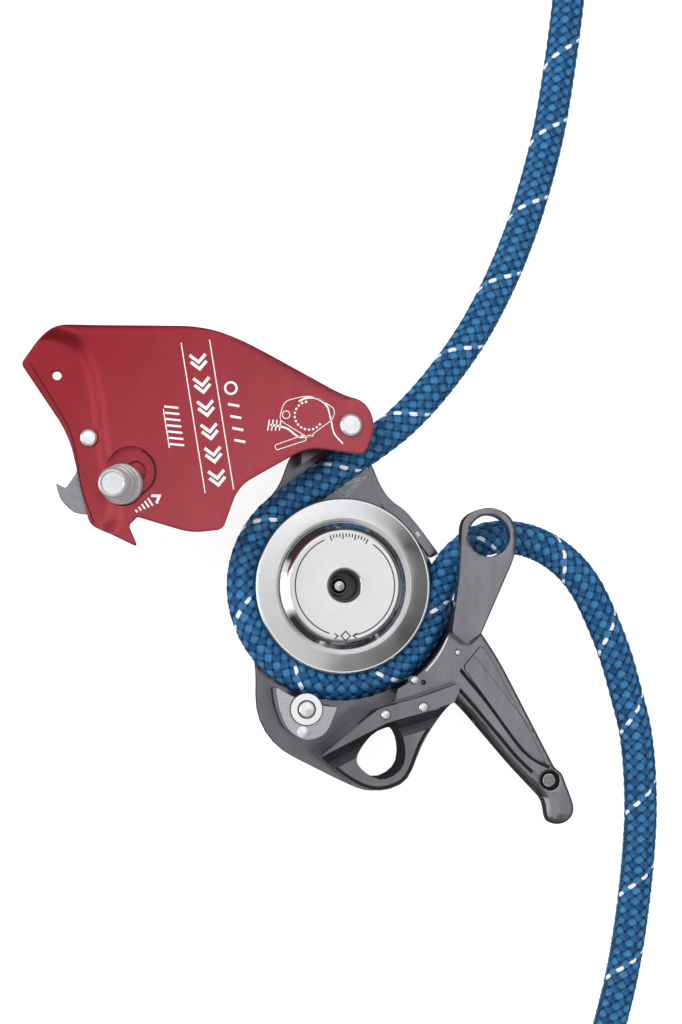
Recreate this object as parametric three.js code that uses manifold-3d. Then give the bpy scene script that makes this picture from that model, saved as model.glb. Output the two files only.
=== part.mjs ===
// Rope clutch for 13 mm rope: a one-way sheave on a fixed frame, with a hinged side plate, a latch,
// a brake cam and a control handle behind. Millimetres, +Z up. The clutch lies on its back, and its origin
// is where the sheave's axis meets the surface that the rear cap rests on.
import * as THREE from 'three';
import { mergeVertices } from 'three/addons/utils/BufferGeometryUtils.js';
import Module from 'manifold-3d';

const wasm = await Module();
wasm.setup();

// Driving dimensions.
const GAP = 0.3;
const ROPE_R = 6.5;
const ROPE_Z = 29;
const WRAP_R = 37.8; // rope's centreline round the sheave
const BARREL_R = 30.9; // bottom of the sheave's groove
const RIM_R = 34;
const BOSS_R = 22.5;
const AXLE_R = 7;
const BORE_R = 9.3; // running bore on the axle's bushes

// Heights, from the rest surface up.
const CAP_TOP = 3;
const HANDLE_BOTTOM = 3.3;
const HANDLE_TOP = 10.3;
const PLATE_BACK = 14.5;
const PLATE_FRONT = 19.5;
const BLOCK_BACK = PLATE_FRONT + GAP;
const SEAT_TOP = 38.6;
const EYE_TOP = 36;
const CLUTCH_BOTTOM = 23; // ratchet ring, pawls and their carrier
const CLUTCH_TOP = 33.4;
const WEB_BOTTOM = 34.4; // sheave's web, above the clutch
const LEDGE_TOP = 49;
const SLOT_BOTTOM = 42.1;
const SLOT_TOP = 46;
const BOSS_TOP = 42;
const LEVER_BOTTOM = 42.4;
const LEVER_TOP = 45.6;
const LOW_BOTTOM = 46; // side plate beyond its crank
const HIGH_BOTTOM = 51; // side plate over the sheave
const SHEET = 3; // side plate's thickness
const HIGH_TOP = HIGH_BOTTOM + SHEET;
const KNOB_TOP = 61.5;

// Places in plan.
const PIVOT = [1.2, 60.5];
const LATCH = [-97.4, 56.2];
const KNOB = [-84.7, 38.5];
const KNOB_RELEASED = [-80.0, 43.2];
const RECESS = [-81.8, 43.2]; // middle of the round hollow that the knob moves in
const RECESS_R = 9.5;
const RECESS_DEPTH = 2;
const CAM = [-14.9, -47.1];
const PIN_FOOT = 33.5; // bottom of the small pins
const LEDGE_PINS = {
  ledge_pin_left: [14, -49.2, SLOT_TOP + GAP], // x, y, bottom: this one stays above the latch's slot
  ledge_pin_right: [28.6, -46.6, PIN_FOOT],
};
const GUIDE_PIN = [26.8, -36.5];
const SET_SCREW = [30.5, -37.5];
const BECKET_DOWEL = [44.2, -26.2];
const BECKET = [56, 18.6];
const HANDLE_SCREW = [86.6, -78.4];
const PIN_R = 1.75;
const CAM_PIN_R = 3.1;

const FINISHES = {
  red: [0xb0202a, 0.38, 0.6],
  black: [0x1b1b1d, 0.45, 0.4],
  steel: [0xb9bcc0, 0.25, 0.9],
  silver: [0xd2d3d5, 0.3, 0.85],
  cast: [0x77787a, 0.55, 0.7],
  bronze: [0xa57b45, 0.4, 0.8],
  rope: [0x2a63b5, 0.9, 0],
  sleeve: [0x16181c, 0.6, 0],
};

// ---------- solids ----------

function solid(geometry) {
  const bare = geometry.clone();
  bare.deleteAttribute('normal');
  bare.deleteAttribute('uv');
  const merged = mergeVertices(bare, 1e-4);
  const points = merged.attributes.position;
  const triVerts = new Uint32Array(merged.index.array);
  const [a, b, c] = [new THREE.Vector3(), new THREE.Vector3(), new THREE.Vector3()];
  let volume = 0;
  for (let i = 0; i < triVerts.length; i += 3) {
    a.fromBufferAttribute(points, triVerts[i]);
    b.fromBufferAttribute(points, triVerts[i + 1]);
    c.fromBufferAttribute(points, triVerts[i + 2]);
    volume += a.dot(b.cross(c));
  }
  if (volume < 0) {
    for (let i = 0; i < triVerts.length; i += 3) {
      [triVerts[i], triVerts[i + 1]] = [triVerts[i + 1], triVerts[i]];
    }
  }
  const vertProperties = new Float32Array(points.array);
  return new wasm.Manifold(new wasm.Mesh({ numProp: 3, vertProperties, triVerts }));
}

function join(first, ...others) {
  return others.reduce((whole, other) => whole.add(other), first);
}

function cut(first, ...others) {
  return others.reduce((whole, other) => whole.subtract(other), first);
}

// A closed outline through corners [x, y, reach]. Reach is how far from the corner its rounding starts.
function outline(corners) {
  const shape = new THREE.Shape();
  const count = corners.length;
  const toward = (from, to, reach) => {
    const length = Math.hypot(to[0] - from[0], to[1] - from[1]);
    const share = Math.min(reach / length, 0.48);
    return [from[0] + (to[0] - from[0]) * share, from[1] + (to[1] - from[1]) * share];
  };
  corners.forEach((corner, i) => {
    const reach = corner[2] ?? 0;
    const start = toward(corner, corners[(i + count - 1) % count], reach);
    const end = toward(corner, corners[(i + 1) % count], reach);
    if (i === 0) shape.moveTo(...start);
    else shape.lineTo(...start);
    if (reach > 0) shape.quadraticCurveTo(corner[0], corner[1], ...end);
  });
  shape.closePath();
  return shape;
}

function slab(shape, bottom, top, curveSegments = 3) {
  const depth = top - bottom;
  const geometry = new THREE.ExtrudeGeometry(shape, { depth, bevelEnabled: false, curveSegments });
  return solid(geometry.translate(0, 0, bottom));
}

function disc([x, y], radius, bottom, top, sides = 20) {
  const geometry = new THREE.CylinderGeometry(radius, radius, top - bottom, sides);
  return solid(geometry.rotateX(Math.PI / 2).translate(x, y, (bottom + top) / 2));
}

// A solid of revolution about Z from [radius, height] points.
function turned(profile, sides = 24) {
  const points = profile.map(([radius, height]) => new THREE.Vector2(radius, height));
  return solid(new THREE.LatheGeometry(points, sides).rotateX(Math.PI / 2));
}

function ring(inner, outer, bottom, top, sides = 24) {
  return turned([[inner, bottom], [outer, bottom], [outer, top], [inner, top], [inner, bottom]], sides);
}

function polar(radius, degrees) {
  const angle = THREE.MathUtils.degToRad(degrees);
  return [radius * Math.cos(angle), radius * Math.sin(angle)];
}

function arcPoints(radius, fromDegrees, toDegrees, steps) {
  const turn = (toDegrees - fromDegrees) / steps;
  return Array.from({ length: steps + 1 }, (_, i) => polar(radius, fromDegrees + turn * i));
}

// A stadium of the given radius between two points.
function stadium([x0, y0], [x1, y1], radius) {
  const along = Math.atan2(y1 - y0, x1 - x0);
  const shape = new THREE.Shape();
  shape.absarc(x1, y1, radius, along - Math.PI / 2, along + Math.PI / 2);
  shape.absarc(x0, y0, radius, along + Math.PI / 2, along + 1.5 * Math.PI);
  return shape;
}

function tube(points, radius, steps, sides) {
  const path = new THREE.CatmullRomCurve3(points.map((point) => new THREE.Vector3(...point)));
  const corners = arcPoints(radius, 0, 360 - 360 / sides, sides - 1);
  const section = new THREE.Shape(corners.map(([x, y]) => new THREE.Vector2(x, y)));
  return solid(new THREE.ExtrudeGeometry(section, { steps, extrudePath: path }));
}

// A flat spiral torsion spring, wound outward from its inner radius.
function spiralSpring(inner, pitch, strip, turns, bottom, top) {
  const steps = Math.round(turns * 16);
  const edge = (offset) => Array.from({ length: steps + 1 }, (_, i) => {
    const turned = (turns * i) / steps;
    return polar(inner + offset + pitch * turned, 360 * turned);
  });
  return slab(outline([...edge(0), ...edge(strip).reverse()]), bottom, top);
}

function add(group, name, made, finish, [x, y] = [0, 0]) {
  const { vertProperties, triVerts } = made.getMesh();
  const geometry = new THREE.BufferGeometry();
  geometry.setAttribute('position', new THREE.BufferAttribute(vertProperties, 3));
  geometry.setIndex(new THREE.BufferAttribute(triVerts, 1));
  const [color, roughness, metalness] = FINISHES[finish];
  const mesh = new THREE.Mesh(geometry, new THREE.MeshStandardMaterial({ color, roughness, metalness }));
  mesh.name = name;
  mesh.position.set(x, y, 0);
  group.add(mesh);
}

// ---------- frame ----------

const EYE_HOLE = outline([
  [3.6, -66.5, 4], [10.5, -55.6, 5], [20, -53.6, 4], [23.6, -60, 4], [23.4, -70.5, 5], [14.5, -75.8, 6],
  [6.6, -71.2, 4],
]);
const REAR_SCREWS = [[3, -65.6], [34.5, -46.5], [47.6, -22], [-10, 52.2]];

function rearScrewHoles(clearance) {
  return REAR_SCREWS.map((place) => disc(place, 1.6 + clearance, 10, 29 + clearance, 12));
}

function backPlate() {
  const plan = outline([
    [12.2, 50, 4], [11.2, 62, 4], [6, 70.4, 4], [-4, 70.4, 4], [-9, 61, 4], [-17.6, 51.8, 3], [-22, 40, 4],
    [-36, 24, 10], [-39.5, -2, 10], [-32, -30, 6], [-32.4, -50, 8], [-24.6, -62.8, 8], [1, -76.2, 6],
    [11.5, -80.8, 5],
    [24.5, -77.6, 6], [31, -60.8, 6], [41.6, -44.6, 6], [47, -28, 4], [52.4, -20.4, 2.5], [50.6, -15.6, 2.5],
    [45.4, -8, 6], [36.6, 11.8, 3], [17, 32.4, 6],
  ]);
  return cut(
    slab(plan, PLATE_BACK, PLATE_FRONT),
    slab(EYE_HOLE, PLATE_BACK - 1, PLATE_FRONT + 1),
    disc([0, 0], AXLE_R + GAP, PLATE_BACK - 1, PLATE_FRONT + 1, 32),
    disc(CAM, CAM_PIN_R + GAP, PLATE_BACK - 1, PLATE_FRONT + 1, 20),
    disc(PIVOT, 3.5 + GAP, PLATE_BACK - 1, PLATE_FRONT + 1, 20),
    ...rearScrewHoles(GAP),
  );
}

// The hollow that falls from one stretch of the ledge's outer edge to the eye's face.
function cove([x0, y0], [x1, y1]) {
  const reach = 8;
  const fall = LEDGE_TOP - EYE_TOP;
  const length = Math.hypot(x1 - x0, y1 - y0) + 40;
  const bend = new THREE.CylinderGeometry(1, 1, length, 28).scale(reach, 1, fall).rotateZ(Math.PI / 2);
  bend.applyMatrix4(new THREE.Matrix4().makeTranslation(0, -reach, LEDGE_TOP));
  const beyond = new THREE.BoxGeometry(length, 60, 60).translate(0, -reach - 30, EYE_TOP + 30);
  const place = new THREE.Matrix4().makeRotationZ(Math.atan2(y1 - y0, x1 - x0));
  place.setPosition((x0 + x1) / 2, (y0 + y1) / 2, 0);
  return join(solid(bend), solid(beyond)).transform(place.elements);
}

// The ledge's outer edge at the top, from its left end over a bend to its right end.
const LEDGE_EDGE = [[-9.3, -63.9], [14, -52.5], [40.2, -45.2]];
const LATCH_REACH = 113.2; // from the pivot to just past the latch's hook

function pointFromPivot(radius, degrees) {
  const [x, y] = polar(radius, degrees);
  return [PIVOT[0] + x, PIVOT[1] + y];
}

// The coves meet where the edge bends, each cut only on its own side of the bend.
function ledgeCoves() {
  const far = 100;
  const [left, bend, right] = LEDGE_EDGE;
  const slope = (bend[1] - left[1]) / (bend[0] - left[0]);
  const alongEdge = (x) => [x, bend[1] + (x - bend[0]) * slope];
  const leftSide = outline([[-far, -2 * far], [bend[0], -2 * far], bend, alongEdge(-far)]);
  const rightSide = outline([[bend[0], -2 * far], [far, -2 * far], alongEdge(far), bend]);
  return [
    cove(left, bend).intersect(slab(leftSide, 0, far)),
    cove(bend, right).intersect(slab(rightSide, 0, far)),
  ];
}

function frameBlock() {
  const wallR = WRAP_R + ROPE_R + 0.6;
  const plan = outline([
    [-11, -64.4, 0.5], [11.1, -47, 3], [19.5, -45, 2], ...arcPoints(wallR, -63, -22, 7), [50.2, -16.4, 1.5],
    [52, -20.2, 2], [46.6, -28, 3], [41.2, -44.4, 5], [30.4, -60.6, 6], [23.8, -76.6, 6],
    [11.6, -79.6, 5], [1.4, -75, 5],
  ]);
  const insideLedge = outline([
    [-14, -64.4], [11.1, -47, 3], [29.1, -42.5, 2], [43.6, -37.6], [60, -34], [60, 0], [-14, 0],
  ]);
  const hookPath = Array.from({ length: 9 }, (_, i) => pointFromPivot(LATCH_REACH, 262 + i * 3));
  const hookSlot = outline([[-16, -40], ...hookPath, [35.6, -48, 3], [43.4, -41.6, 3], [52, -30]]);
  return cut(
    slab(plan, BLOCK_BACK, LEDGE_TOP),
    slab(insideLedge, SEAT_TOP, LEDGE_TOP + 1),
    ...ledgeCoves(),
    slab(EYE_HOLE, 0, LEDGE_TOP + 1),
    slab(hookSlot, SLOT_BOTTOM, SLOT_TOP),
    ...Object.values(LEDGE_PINS).map(([x, y, bottom]) => {
      return disc([x, y], PIN_R + GAP, bottom - 0.5, LEDGE_TOP + 1, 16);
    }),
    disc(SET_SCREW, 1.05, PIN_FOOT - 0.5, LEDGE_TOP, 12),
    disc(GUIDE_PIN, 1.5 + GAP, PIN_FOOT - 0.5, LEDGE_TOP, 16),
    disc(BECKET_DOWEL, 1 + GAP, PIN_FOOT - 0.5, LEDGE_TOP, 12),
    ...rearScrewHoles(GAP),
  );
}

function becketPlate() {
  const plan = outline([
    [40.6, -18.6, 1.5], [47.4, -24, 2], [51.6, -20.4, 2], [66.4, 11.6, 5], [66.4, 25.4, 6], [56.4, 30.6, 6],
    [45.4, 26, 5], [44.2, 4, 10],
  ]);
  return cut(slab(plan, SEAT_TOP + GAP, 45.6), disc(BECKET, 8, 30, 50, 32));
}

function ropeGuideLug() {
  const plan = outline([[-16, 46.4, 1.5], [-4.6, 54.2, 1.5], [-6.4, 58, 2], [-15, 53.4, 2]]);
  return cut(slab(plan, BLOCK_BACK, 36), ...rearScrewHoles(GAP));
}

function domedPin(radius, bottom, top, sides = 16) {
  const crown = radius * 0.3;
  const shoulder = [[radius, top - crown], [radius * 0.75, top - crown * 0.25]];
  return turned([[0, bottom], [radius, bottom], ...shoulder, [0, top]], sides);
}

function buttonScrew() {
  const seat = PLATE_BACK - GAP;
  return turned([[0, 12.2], [2.2, 12.2], [3, 12.8], [3, seat], [1.6, seat], [1.6, 29], [0, 29]], 12);
}

const frame = new THREE.Group();
add(frame, 'back_plate', backPlate(), 'black');
add(frame, 'frame_block', frameBlock(), 'black');
add(frame, 'becket_plate', becketPlate(), 'black');
add(frame, 'becket_dowel', domedPin(1, PIN_FOOT, SEAT_TOP + 1, 12), 'silver', BECKET_DOWEL);
add(frame, 'rope_guide_lug', ropeGuideLug(), 'black');
for (const [name, [x, y, bottom]] of Object.entries(LEDGE_PINS)) {
  add(frame, name, domedPin(PIN_R, bottom, LEDGE_TOP + 0.5), 'silver', [x, y]);
}
add(frame, 'guide_pin', domedPin(1.5, PIN_FOOT, BOSS_TOP - 0.2), 'silver', GUIDE_PIN);
add(frame, 'set_screw', disc([0, 0], 0.8, PIN_FOOT, SEAT_TOP - 1, 12), 'silver', SET_SCREW);
REAR_SCREWS.forEach((place, i) => add(frame, `rear_screw_${i + 1}`, buttonScrew(), 'silver', place));
add(frame, 'rear_cap', turned([[0, 0], [18.6, 0], [20, 1.2], [20, CAP_TOP], [0, CAP_TOP]], 32), 'steel');

// The post that the side plate turns on, and the rivet that holds the plate to it.
add(frame, 'pivot_post', ring(3.5 + GAP, 4.2, BLOCK_BACK, HIGH_BOTTOM - GAP), 'silver', PIVOT);
add(frame, 'pivot_rivet', turned([
  [0, 12.4], [5, 12.4], [5, PLATE_BACK - GAP], [3.5, PLATE_BACK - GAP], [3.5, HIGH_TOP + GAP],
  [4.2, HIGH_TOP + GAP],
  [4.2, 55.4], [3.4, 56], [0, 56.2],
], 20), 'silver', PIVOT);

// ---------- axle and one-way clutch ----------

const PAWL_PIVOT_R = 13.5;
const PAWL_SIDES = { pawl_right: 0, pawl_left: 180 }; // degrees round the axle
const PAWL_CLEAR = 15; // degrees from a tooth's root to where the pawl rests, clear of the teeth

const KEY_PIN = [-1.4, 0];
const COUNTERBORE_FLOOR = 33; // of the deep hole in the axle's end

function axle() {
  const body = disc([0, 0], AXLE_R, CAP_TOP + GAP, BOSS_TOP - 2.4, 32);
  return cut(
    join(
      cut(body, disc([0, 0], 5.4, COUNTERBORE_FLOOR, BOSS_TOP, 32)),
      disc(KEY_PIN, 3.8, COUNTERBORE_FLOOR - 1, COUNTERBORE_FLOOR + 2.6, 24),
    ),
    disc(KEY_PIN, 2.5 + GAP, COUNTERBORE_FLOOR - 4, BOSS_TOP, 16),
  );
}

function pawlCarrier() {
  const studs = Object.values(PAWL_SIDES).map((turn) => disc(polar(PAWL_PIVOT_R, turn), 1, 24, 33, 12));
  const body = join(
    disc([0, 0], 10.5, CLUTCH_BOTTOM, CLUTCH_TOP, 32),
    disc([0, 0], 16.2, CLUTCH_BOTTOM, CLUTCH_BOTTOM + 1.6, 32),
    ...studs,
  );
  return cut(body, disc([0, 0], AXLE_R + GAP, 20, 36, 32));
}

function pawl() {
  const plan = outline([
    [-2.3, -2, 1.6], [1.6, -2.4, 1.6], [3.4, 1.4, 2], [5.9, 5.7, 0.8], [4.6, 6.9, 0.6], [0, 4, 2],
    [-2.4, 1.4, 1.6],
  ]);
  const body = slab(plan, CLUTCH_BOTTOM + 2, CLUTCH_TOP - 1, 3).rotate([0, 0, PAWL_CLEAR]);
  return cut(body, disc([0, 0], 1 + GAP, 20, 40, 12));
}

function ratchetRing() {
  const teeth = 16;
  const step = 360 / teeth;
  const corners = [];
  for (let i = 0; i < teeth; i += 1) {
    corners.push(polar(19.4, i * step), polar(21.8, i * step + 13), polar(21.8, i * step + 21.5));
  }
  return cut(disc([0, 0], 24, CLUTCH_BOTTOM, CLUTCH_TOP + 0.6, 32), slab(outline(corners), 22, 35));
}

add(frame, 'sheave_axle', axle(), 'steel');
add(frame, 'axle_key_pin', domedPin(2.5, COUNTERBORE_FLOOR - 3.7, COUNTERBORE_FLOOR + 3.8), 'silver', KEY_PIN);
add(frame, 'axle_bush', ring(AXLE_R + GAP, BORE_R - GAP, 35, 38.4), 'bronze');
add(frame, 'retaining_ring', ring(AXLE_R + GAP, BORE_R - GAP, 38.7, 39.6), 'steel');
add(frame, 'pawl_carrier', pawlCarrier(), 'cast');

const sheave = new THREE.Group();

function sheaveBody() {
  return turned([
    [24.3, 22.6], [BARREL_R, 22.6], [BARREL_R, 34.6], [RIM_R, 35.8], [RIM_R, 37.5], [33.4, 37.9],
    [26.2, 38.6],
    [25.6, 38.2], [25.6, 36.8], [22.9, 36.8], [22.9, 37.6], [BOSS_R, 38], [BOSS_R, 40.8], [21.3, BOSS_TOP],
    [6, BOSS_TOP], [6, 40], [BORE_R, 40], [BORE_R, WEB_BOTTOM], [24.3, WEB_BOTTOM], [24.3, 22.6],
  ], 40);
}

add(sheave, 'sheave_body', sheaveBody(), 'steel');
add(sheave, 'sheave_rear_flange', ring(BORE_R, RIM_R, 20.1, 22.3, 40), 'steel');
add(sheave, 'ratchet_ring', ratchetRing(), 'cast');

const pawls = new THREE.Group();
for (const [name, turn] of Object.entries(PAWL_SIDES)) {
  const holder = new THREE.Group();
  holder.rotation.z = THREE.MathUtils.degToRad(turn);
  add(holder, name, pawl(), 'cast', [PAWL_PIVOT_R, 0]);
  pawls.add(holder);
}

// ---------- brake cam ----------

const brake = new THREE.Group();

function brakeCam() {
  const bite = disc([0, 0], WRAP_R + ROPE_R + 2.3, 20, 42, 96);
  const plan = outline([
    [-26.4, -38.6, 1], [-25.6, -46, 3], [-22.4, -54.4, 3], [-16, -59.4, 4], [-7.6, -57.4, 4],
    [-4.4, -50.4, 3], [-2, -44, 1],
  ]);
  const key = disc([-16.4, -55.7], 2.2, 36, 37.6, 16);
  return cut(join(slab(plan, CLUTCH_BOTTOM, 36.8), key), bite, disc(CAM, CAM_PIN_R + GAP, 20, 40, 20));
}

add(brake, 'brake_cam', brakeCam(), 'cast');
add(frame, 'cam_pin', turned([
  [0, 12.6], [4.4, 12.6], [4.4, PLATE_BACK - GAP], [CAM_PIN_R, PLATE_BACK - GAP], [CAM_PIN_R, 38.9],
  [2.6, 39.4], [0, 39.6],
], 20), 'silver', CAM);
add(frame, 'cam_washer', ring(CAM_PIN_R + GAP, 6.1, 37.1, 38.2, 24), 'silver', CAM);
const camSpring = spiralSpring(3.5, 0.9, 0.45, 2, BLOCK_BACK + 0.1, CLUTCH_BOTTOM - GAP);
add(frame, 'cam_spring', camSpring, 'steel', CAM);

// ---------- side plate ----------

const plateGroup = new THREE.Group();

// The sheet's section across its crank, drawn along the crank's normal and pushed out along the crank.
function crankedSheet() {
  const normal = new THREE.Vector3(0.989, 0.148, 0).normalize();
  const up = new THREE.Vector3(0, 0, 1);
  const along = new THREE.Vector3().crossVectors(normal, up);
  const [foot, head, far] = [-83.6, -78.6, 140];
  const section = outline([
    [-far, LOW_BOTTOM], [foot, LOW_BOTTOM, 1.5], [head, HIGH_BOTTOM, 1.5], [far, HIGH_BOTTOM],
    [far, HIGH_TOP],
    [head - 1.2, HIGH_TOP, 2], [foot - 0.6, LOW_BOTTOM + SHEET, 0.8], [-far, LOW_BOTTOM + SHEET],
  ]);
  const settings = { depth: 2 * far, bevelEnabled: false, curveSegments: 3 };
  const geometry = new THREE.ExtrudeGeometry(section, settings);
  geometry.translate(0, 0, -far).applyMatrix4(new THREE.Matrix4().makeBasis(normal, up, along));
  return solid(geometry);
}

const PLATE_TOP_EDGE = [[-93, 98.4], [-54, 98.2, 9], [-38, 92.4, 9], [-2, 72.6, 5]];

function sidePlate() {
  const plan = outline([
    [-122.2, 84.2, 1.5], [-115, 94.6, 4], [-108, 98.6, 4], ...PLATE_TOP_EDGE, [7.4, 69.6, 5],
    [11, 60.4, 5], [6.6, 49.4, 3],
    [-15, 52.4, 6], [-41.6, 37.6, 6], [-47.6, 21.4, 2.5], [-59.4, 20.2, 5], [-79.4, 26.3, 0.5],
    [-82.8, 23, 1.5],
    [-79.4, 15, 2], [-97.2, 23.8, 3], [-104.6, 57.4, 8],
  ]);
  const lip = outline([...PLATE_TOP_EDGE, [-3.2, 70.4], [-38.6, 90, 8], [-54, 95.9, 8], [-93, 96]]);
  const reach = 4.1;
  return cut(
    join(
      crankedSheet().intersect(slab(plan, LOW_BOTTOM - 1, HIGH_TOP + 1)),
      slab(lip, HIGH_BOTTOM - 3, HIGH_TOP - 1),
    ),
    slab(stadium(KNOB, KNOB_RELEASED, 8.2), HIGH_TOP - RECESS_DEPTH, HIGH_TOP + 1, 10),
    disc(RECESS, RECESS_R, HIGH_TOP - RECESS_DEPTH, HIGH_TOP + 1, 32),
    slab(stadium(KNOB, KNOB_RELEASED, reach), LOW_BOTTOM - 1, HIGH_TOP + 1, 6),
    disc(PIVOT, 3.5 + GAP, LOW_BOTTOM, HIGH_TOP + 1, 20),
    disc(LATCH, 2.4 + GAP, LOW_BOTTOM - 1, HIGH_TOP, 16),
    disc([-108.9, 79.7], 1.7, LOW_BOTTOM - 1, HIGH_TOP, 16),
  );
}

add(plateGroup, 'side_plate', sidePlate(), 'red');
add(plateGroup, 'latch_rivet', turned([
  [0, 38.2], [3.6, 38.2], [3.6, 39.2], [2.4, 39.2], [2.4, 49 + GAP], [3.2, 49 + GAP], [3.2, 50.2],
  [2.4, 50.8], [0, 51],
], 16), 'silver', LATCH);

const latch = new THREE.Group();

function latchLever() {
  const plan = outline([
    [-109.6, 39.6, 0.8], [-108, 33.4, 2.5], [-102.6, 28, 3], [-94, 27.6, 4], [-81.6, 33, 4],
    [-79.6, 41.4, 3], [-86.4, 45, 4],
    [-91, 53, 4], [-93, 62, 3.5], [-102, 61.8, 3.5], [-103, 51, 4], [-101.4, 44, 2], [-106, 37.6, 0.8],
  ]);
  const holes = [disc(LATCH, 2.4 + GAP, 40, 50, 16), disc(KNOB, 1.6 + GAP, 40, 50, 12)];
  return cut(slab(plan, LEVER_BOTTOM, LEVER_TOP), ...holes);
}

function latchKnob() {
  const base = HIGH_TOP - 2 + GAP;
  const profile = [
    [0, LEVER_BOTTOM], [1.6, LEVER_BOTTOM], [1.6, LEVER_TOP + GAP], [3.4, LEVER_TOP + GAP], [3.4, base],
    [7.5, base],
    [7.5, base + 1.4],
  ];
  for (let groove = 0; groove < 3; groove += 1) {
    const height = base + 1.8 + groove * 1.9;
    const radius = 6.9 - groove * 0.75;
    profile.push([radius - 0.9, height], [radius - 0.9, height + 0.5]);
    profile.push([radius, height + 0.9], [radius, height + 1.5]);
  }
  profile.push([4.7, KNOB_TOP - 0.6], [4.2, KNOB_TOP], [0, KNOB_TOP]);
  return turned(profile, 20);
}

add(latch, 'latch_lever', latchLever(), 'cast');
add(latch, 'latch_knob', latchKnob(), 'silver', KNOB);
add(latch, 'latch_spring', spiralSpring(2.8, 0.9, 0.45, 1.2, 39.5, LEVER_BOTTOM - GAP), 'steel', LATCH);
plateGroup.add(latch);

// ---------- control handle ----------

const handle = new THREE.Group();

function handleArm() {
  const plan = outline([
    [4, 16.6, 6], [17, 12, 8], [49, -5, 10], [60, -19.4, 6], [67, -30.5, 8], [88.8, -73.6, 2],
    [91.6, -75.4, 2], [97.2, -91, 5], [92, -96.6, 5],
    [85.4, -95.4, 3], [84, -86.2, 3], [70.6, -71.8, 6], [49.6, -46.6, 8], [10, -16, 8],
    [-17, -14, 8], [-17, 12, 8],
  ]);
  const serrations = Array.from({ length: 7 }, (_, i) => {
    return disc([68.5 + i * 2.76, -33.4 - i * 5.46], 0.9, 0, HANDLE_TOP + 1, 8);
  });
  const body = join(slab(plan, HANDLE_BOTTOM, HANDLE_TOP), disc([0, 0], 16.4, HANDLE_BOTTOM, 14.2, 28));
  return cut(
    body,
    disc([0, 0], BORE_R, 0, 20, 32),
    ring(10.4, 14.6, 10.6, 15, 32),
    slab(panelPlan(GAP), HANDLE_TOP - 1.2, HANDLE_TOP + 1),
    disc(HANDLE_SCREW, 3.95, HANDLE_TOP - 2.2, HANDLE_TOP + 1, 20),
    disc(HANDLE_SCREW, 1.8, HANDLE_TOP - 6, HANDLE_TOP + 1, 12),
    ...serrations,
  );
}

// The panel's own plan, or that plan grown by a margin for the pocket it sits in.
function panelPlan(margin) {
  const corners = [
    [51.6, -32.4, 2], [59.4, -23.4, 2], [64.8, -32, 6], [85.4, -72, 2], [80.4, -70.2, 4], [74.6, -64.6, 6],
  ];
  const [middleX, middleY] = [69.4, -49];
  return outline(corners.map(([x, y, reach]) => {
    const length = Math.hypot(x - middleX, y - middleY);
    return [x + ((x - middleX) * margin * 1.8) / length, y + ((y - middleY) * margin * 1.8) / length, reach];
  }));
}

function handleScrew() {
  const [seat, top] = [HANDLE_TOP - 1.9, HANDLE_TOP - 0.5];
  const head = turned([[0, 5], [1.5, 5], [1.5, seat], [2.35, seat], [2.35, top], [0, top]], 20);
  return cut(head, disc([0, 0], 1.3, seat + 0.1, HANDLE_TOP, 6));
}

add(handle, 'handle_arm', handleArm(), 'black');
add(handle, 'handle_panel', slab(panelPlan(0), HANDLE_TOP - 0.9, HANDLE_TOP + 1.2), 'black');
add(handle, 'handle_screw', handleScrew(), 'silver', HANDLE_SCREW);
add(handle, 'handle_bush', ring(AXLE_R + GAP, BORE_R - GAP, HANDLE_BOTTOM, 14.1), 'bronze');
add(handle, 'handle_spring', spiralSpring(11, 1.3, 0.7, 1.8, 10.9, 14.1), 'steel');

// ---------- rope ----------

const COIL_CENTRE = [25, 342];
const COIL_R = 71.5; // middle of the turns
const LOAD_ROUTE = [
  [103, 295, 6.5], [102.8, 270, 6.5], [101.6, 246, 6.5], [99.4, 229, 6.6], [95.7, 207, 7.4],
  [90.9, 184.9, 10], [84.2, 162.6, 13.6], [76.1, 140.6, 17.2],
  [66, 118.8, 20.8], [53.3, 97.3, 24.4], [36.8, 76.2, 27.6], [24, 63.4, 28.6], [9.4, 52.6, ROPE_Z],
  [-6, 42, ROPE_Z],
];
const HAND_ROUTE = [
  [47, 11.4, ROPE_Z], [56, 17.4, 28.9], [68, 18.6, 28.4], [79.6, 15.6, 27.8], [90.4, 8.6, 27],
  [98.2, -0.6, 26.2], [105.4, -14.6, 24.6],
  [111.2, -28.8, 22.8], [115.7, -43.4, 20.6], [119.7, -57.7, 18.2], [122, -72.6, 15.4], [123.2, -91, 12],
  [122.8, -106.6, 9.6],
  [121.2, -124.8, 7.6], [118.2, -145, 6.6], [114.6, -161.4, 6.5], [110.6, -175.6, 6.5], [107.2, -187, 6.5],
];
const ROPE_END = [[107.1, -187.4, 6.5], [102.4, -202.2, 6.5]];

// The wrap runs round the sheave from the load side's tangent to where the hand side leaves.
function wrapPoints(fromDegrees, toDegrees, steps) {
  return arcPoints(WRAP_R, fromDegrees, toDegrees, steps).map(([x, y]) => [x, y, ROPE_Z]);
}

function coil() {
  const [inner, outer, layer] = [COIL_R - 2 * ROPE_R, COIL_R + 2 * ROPE_R, 11.2];
  return turned([
    [inner, 3], [inner + 3, 0], [outer - 3, 0], [outer, 3], [outer, 9], [outer - 4, 13],
    [COIL_R + ROPE_R, layer + 8],
    [COIL_R + 3, layer + 2 * ROPE_R], [COIL_R - 3, layer + 2 * ROPE_R], [COIL_R - ROPE_R, layer + 8],
    [inner + 4, 13],
    [inner, 9], [inner, 3],
  ], 36);
}

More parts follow.
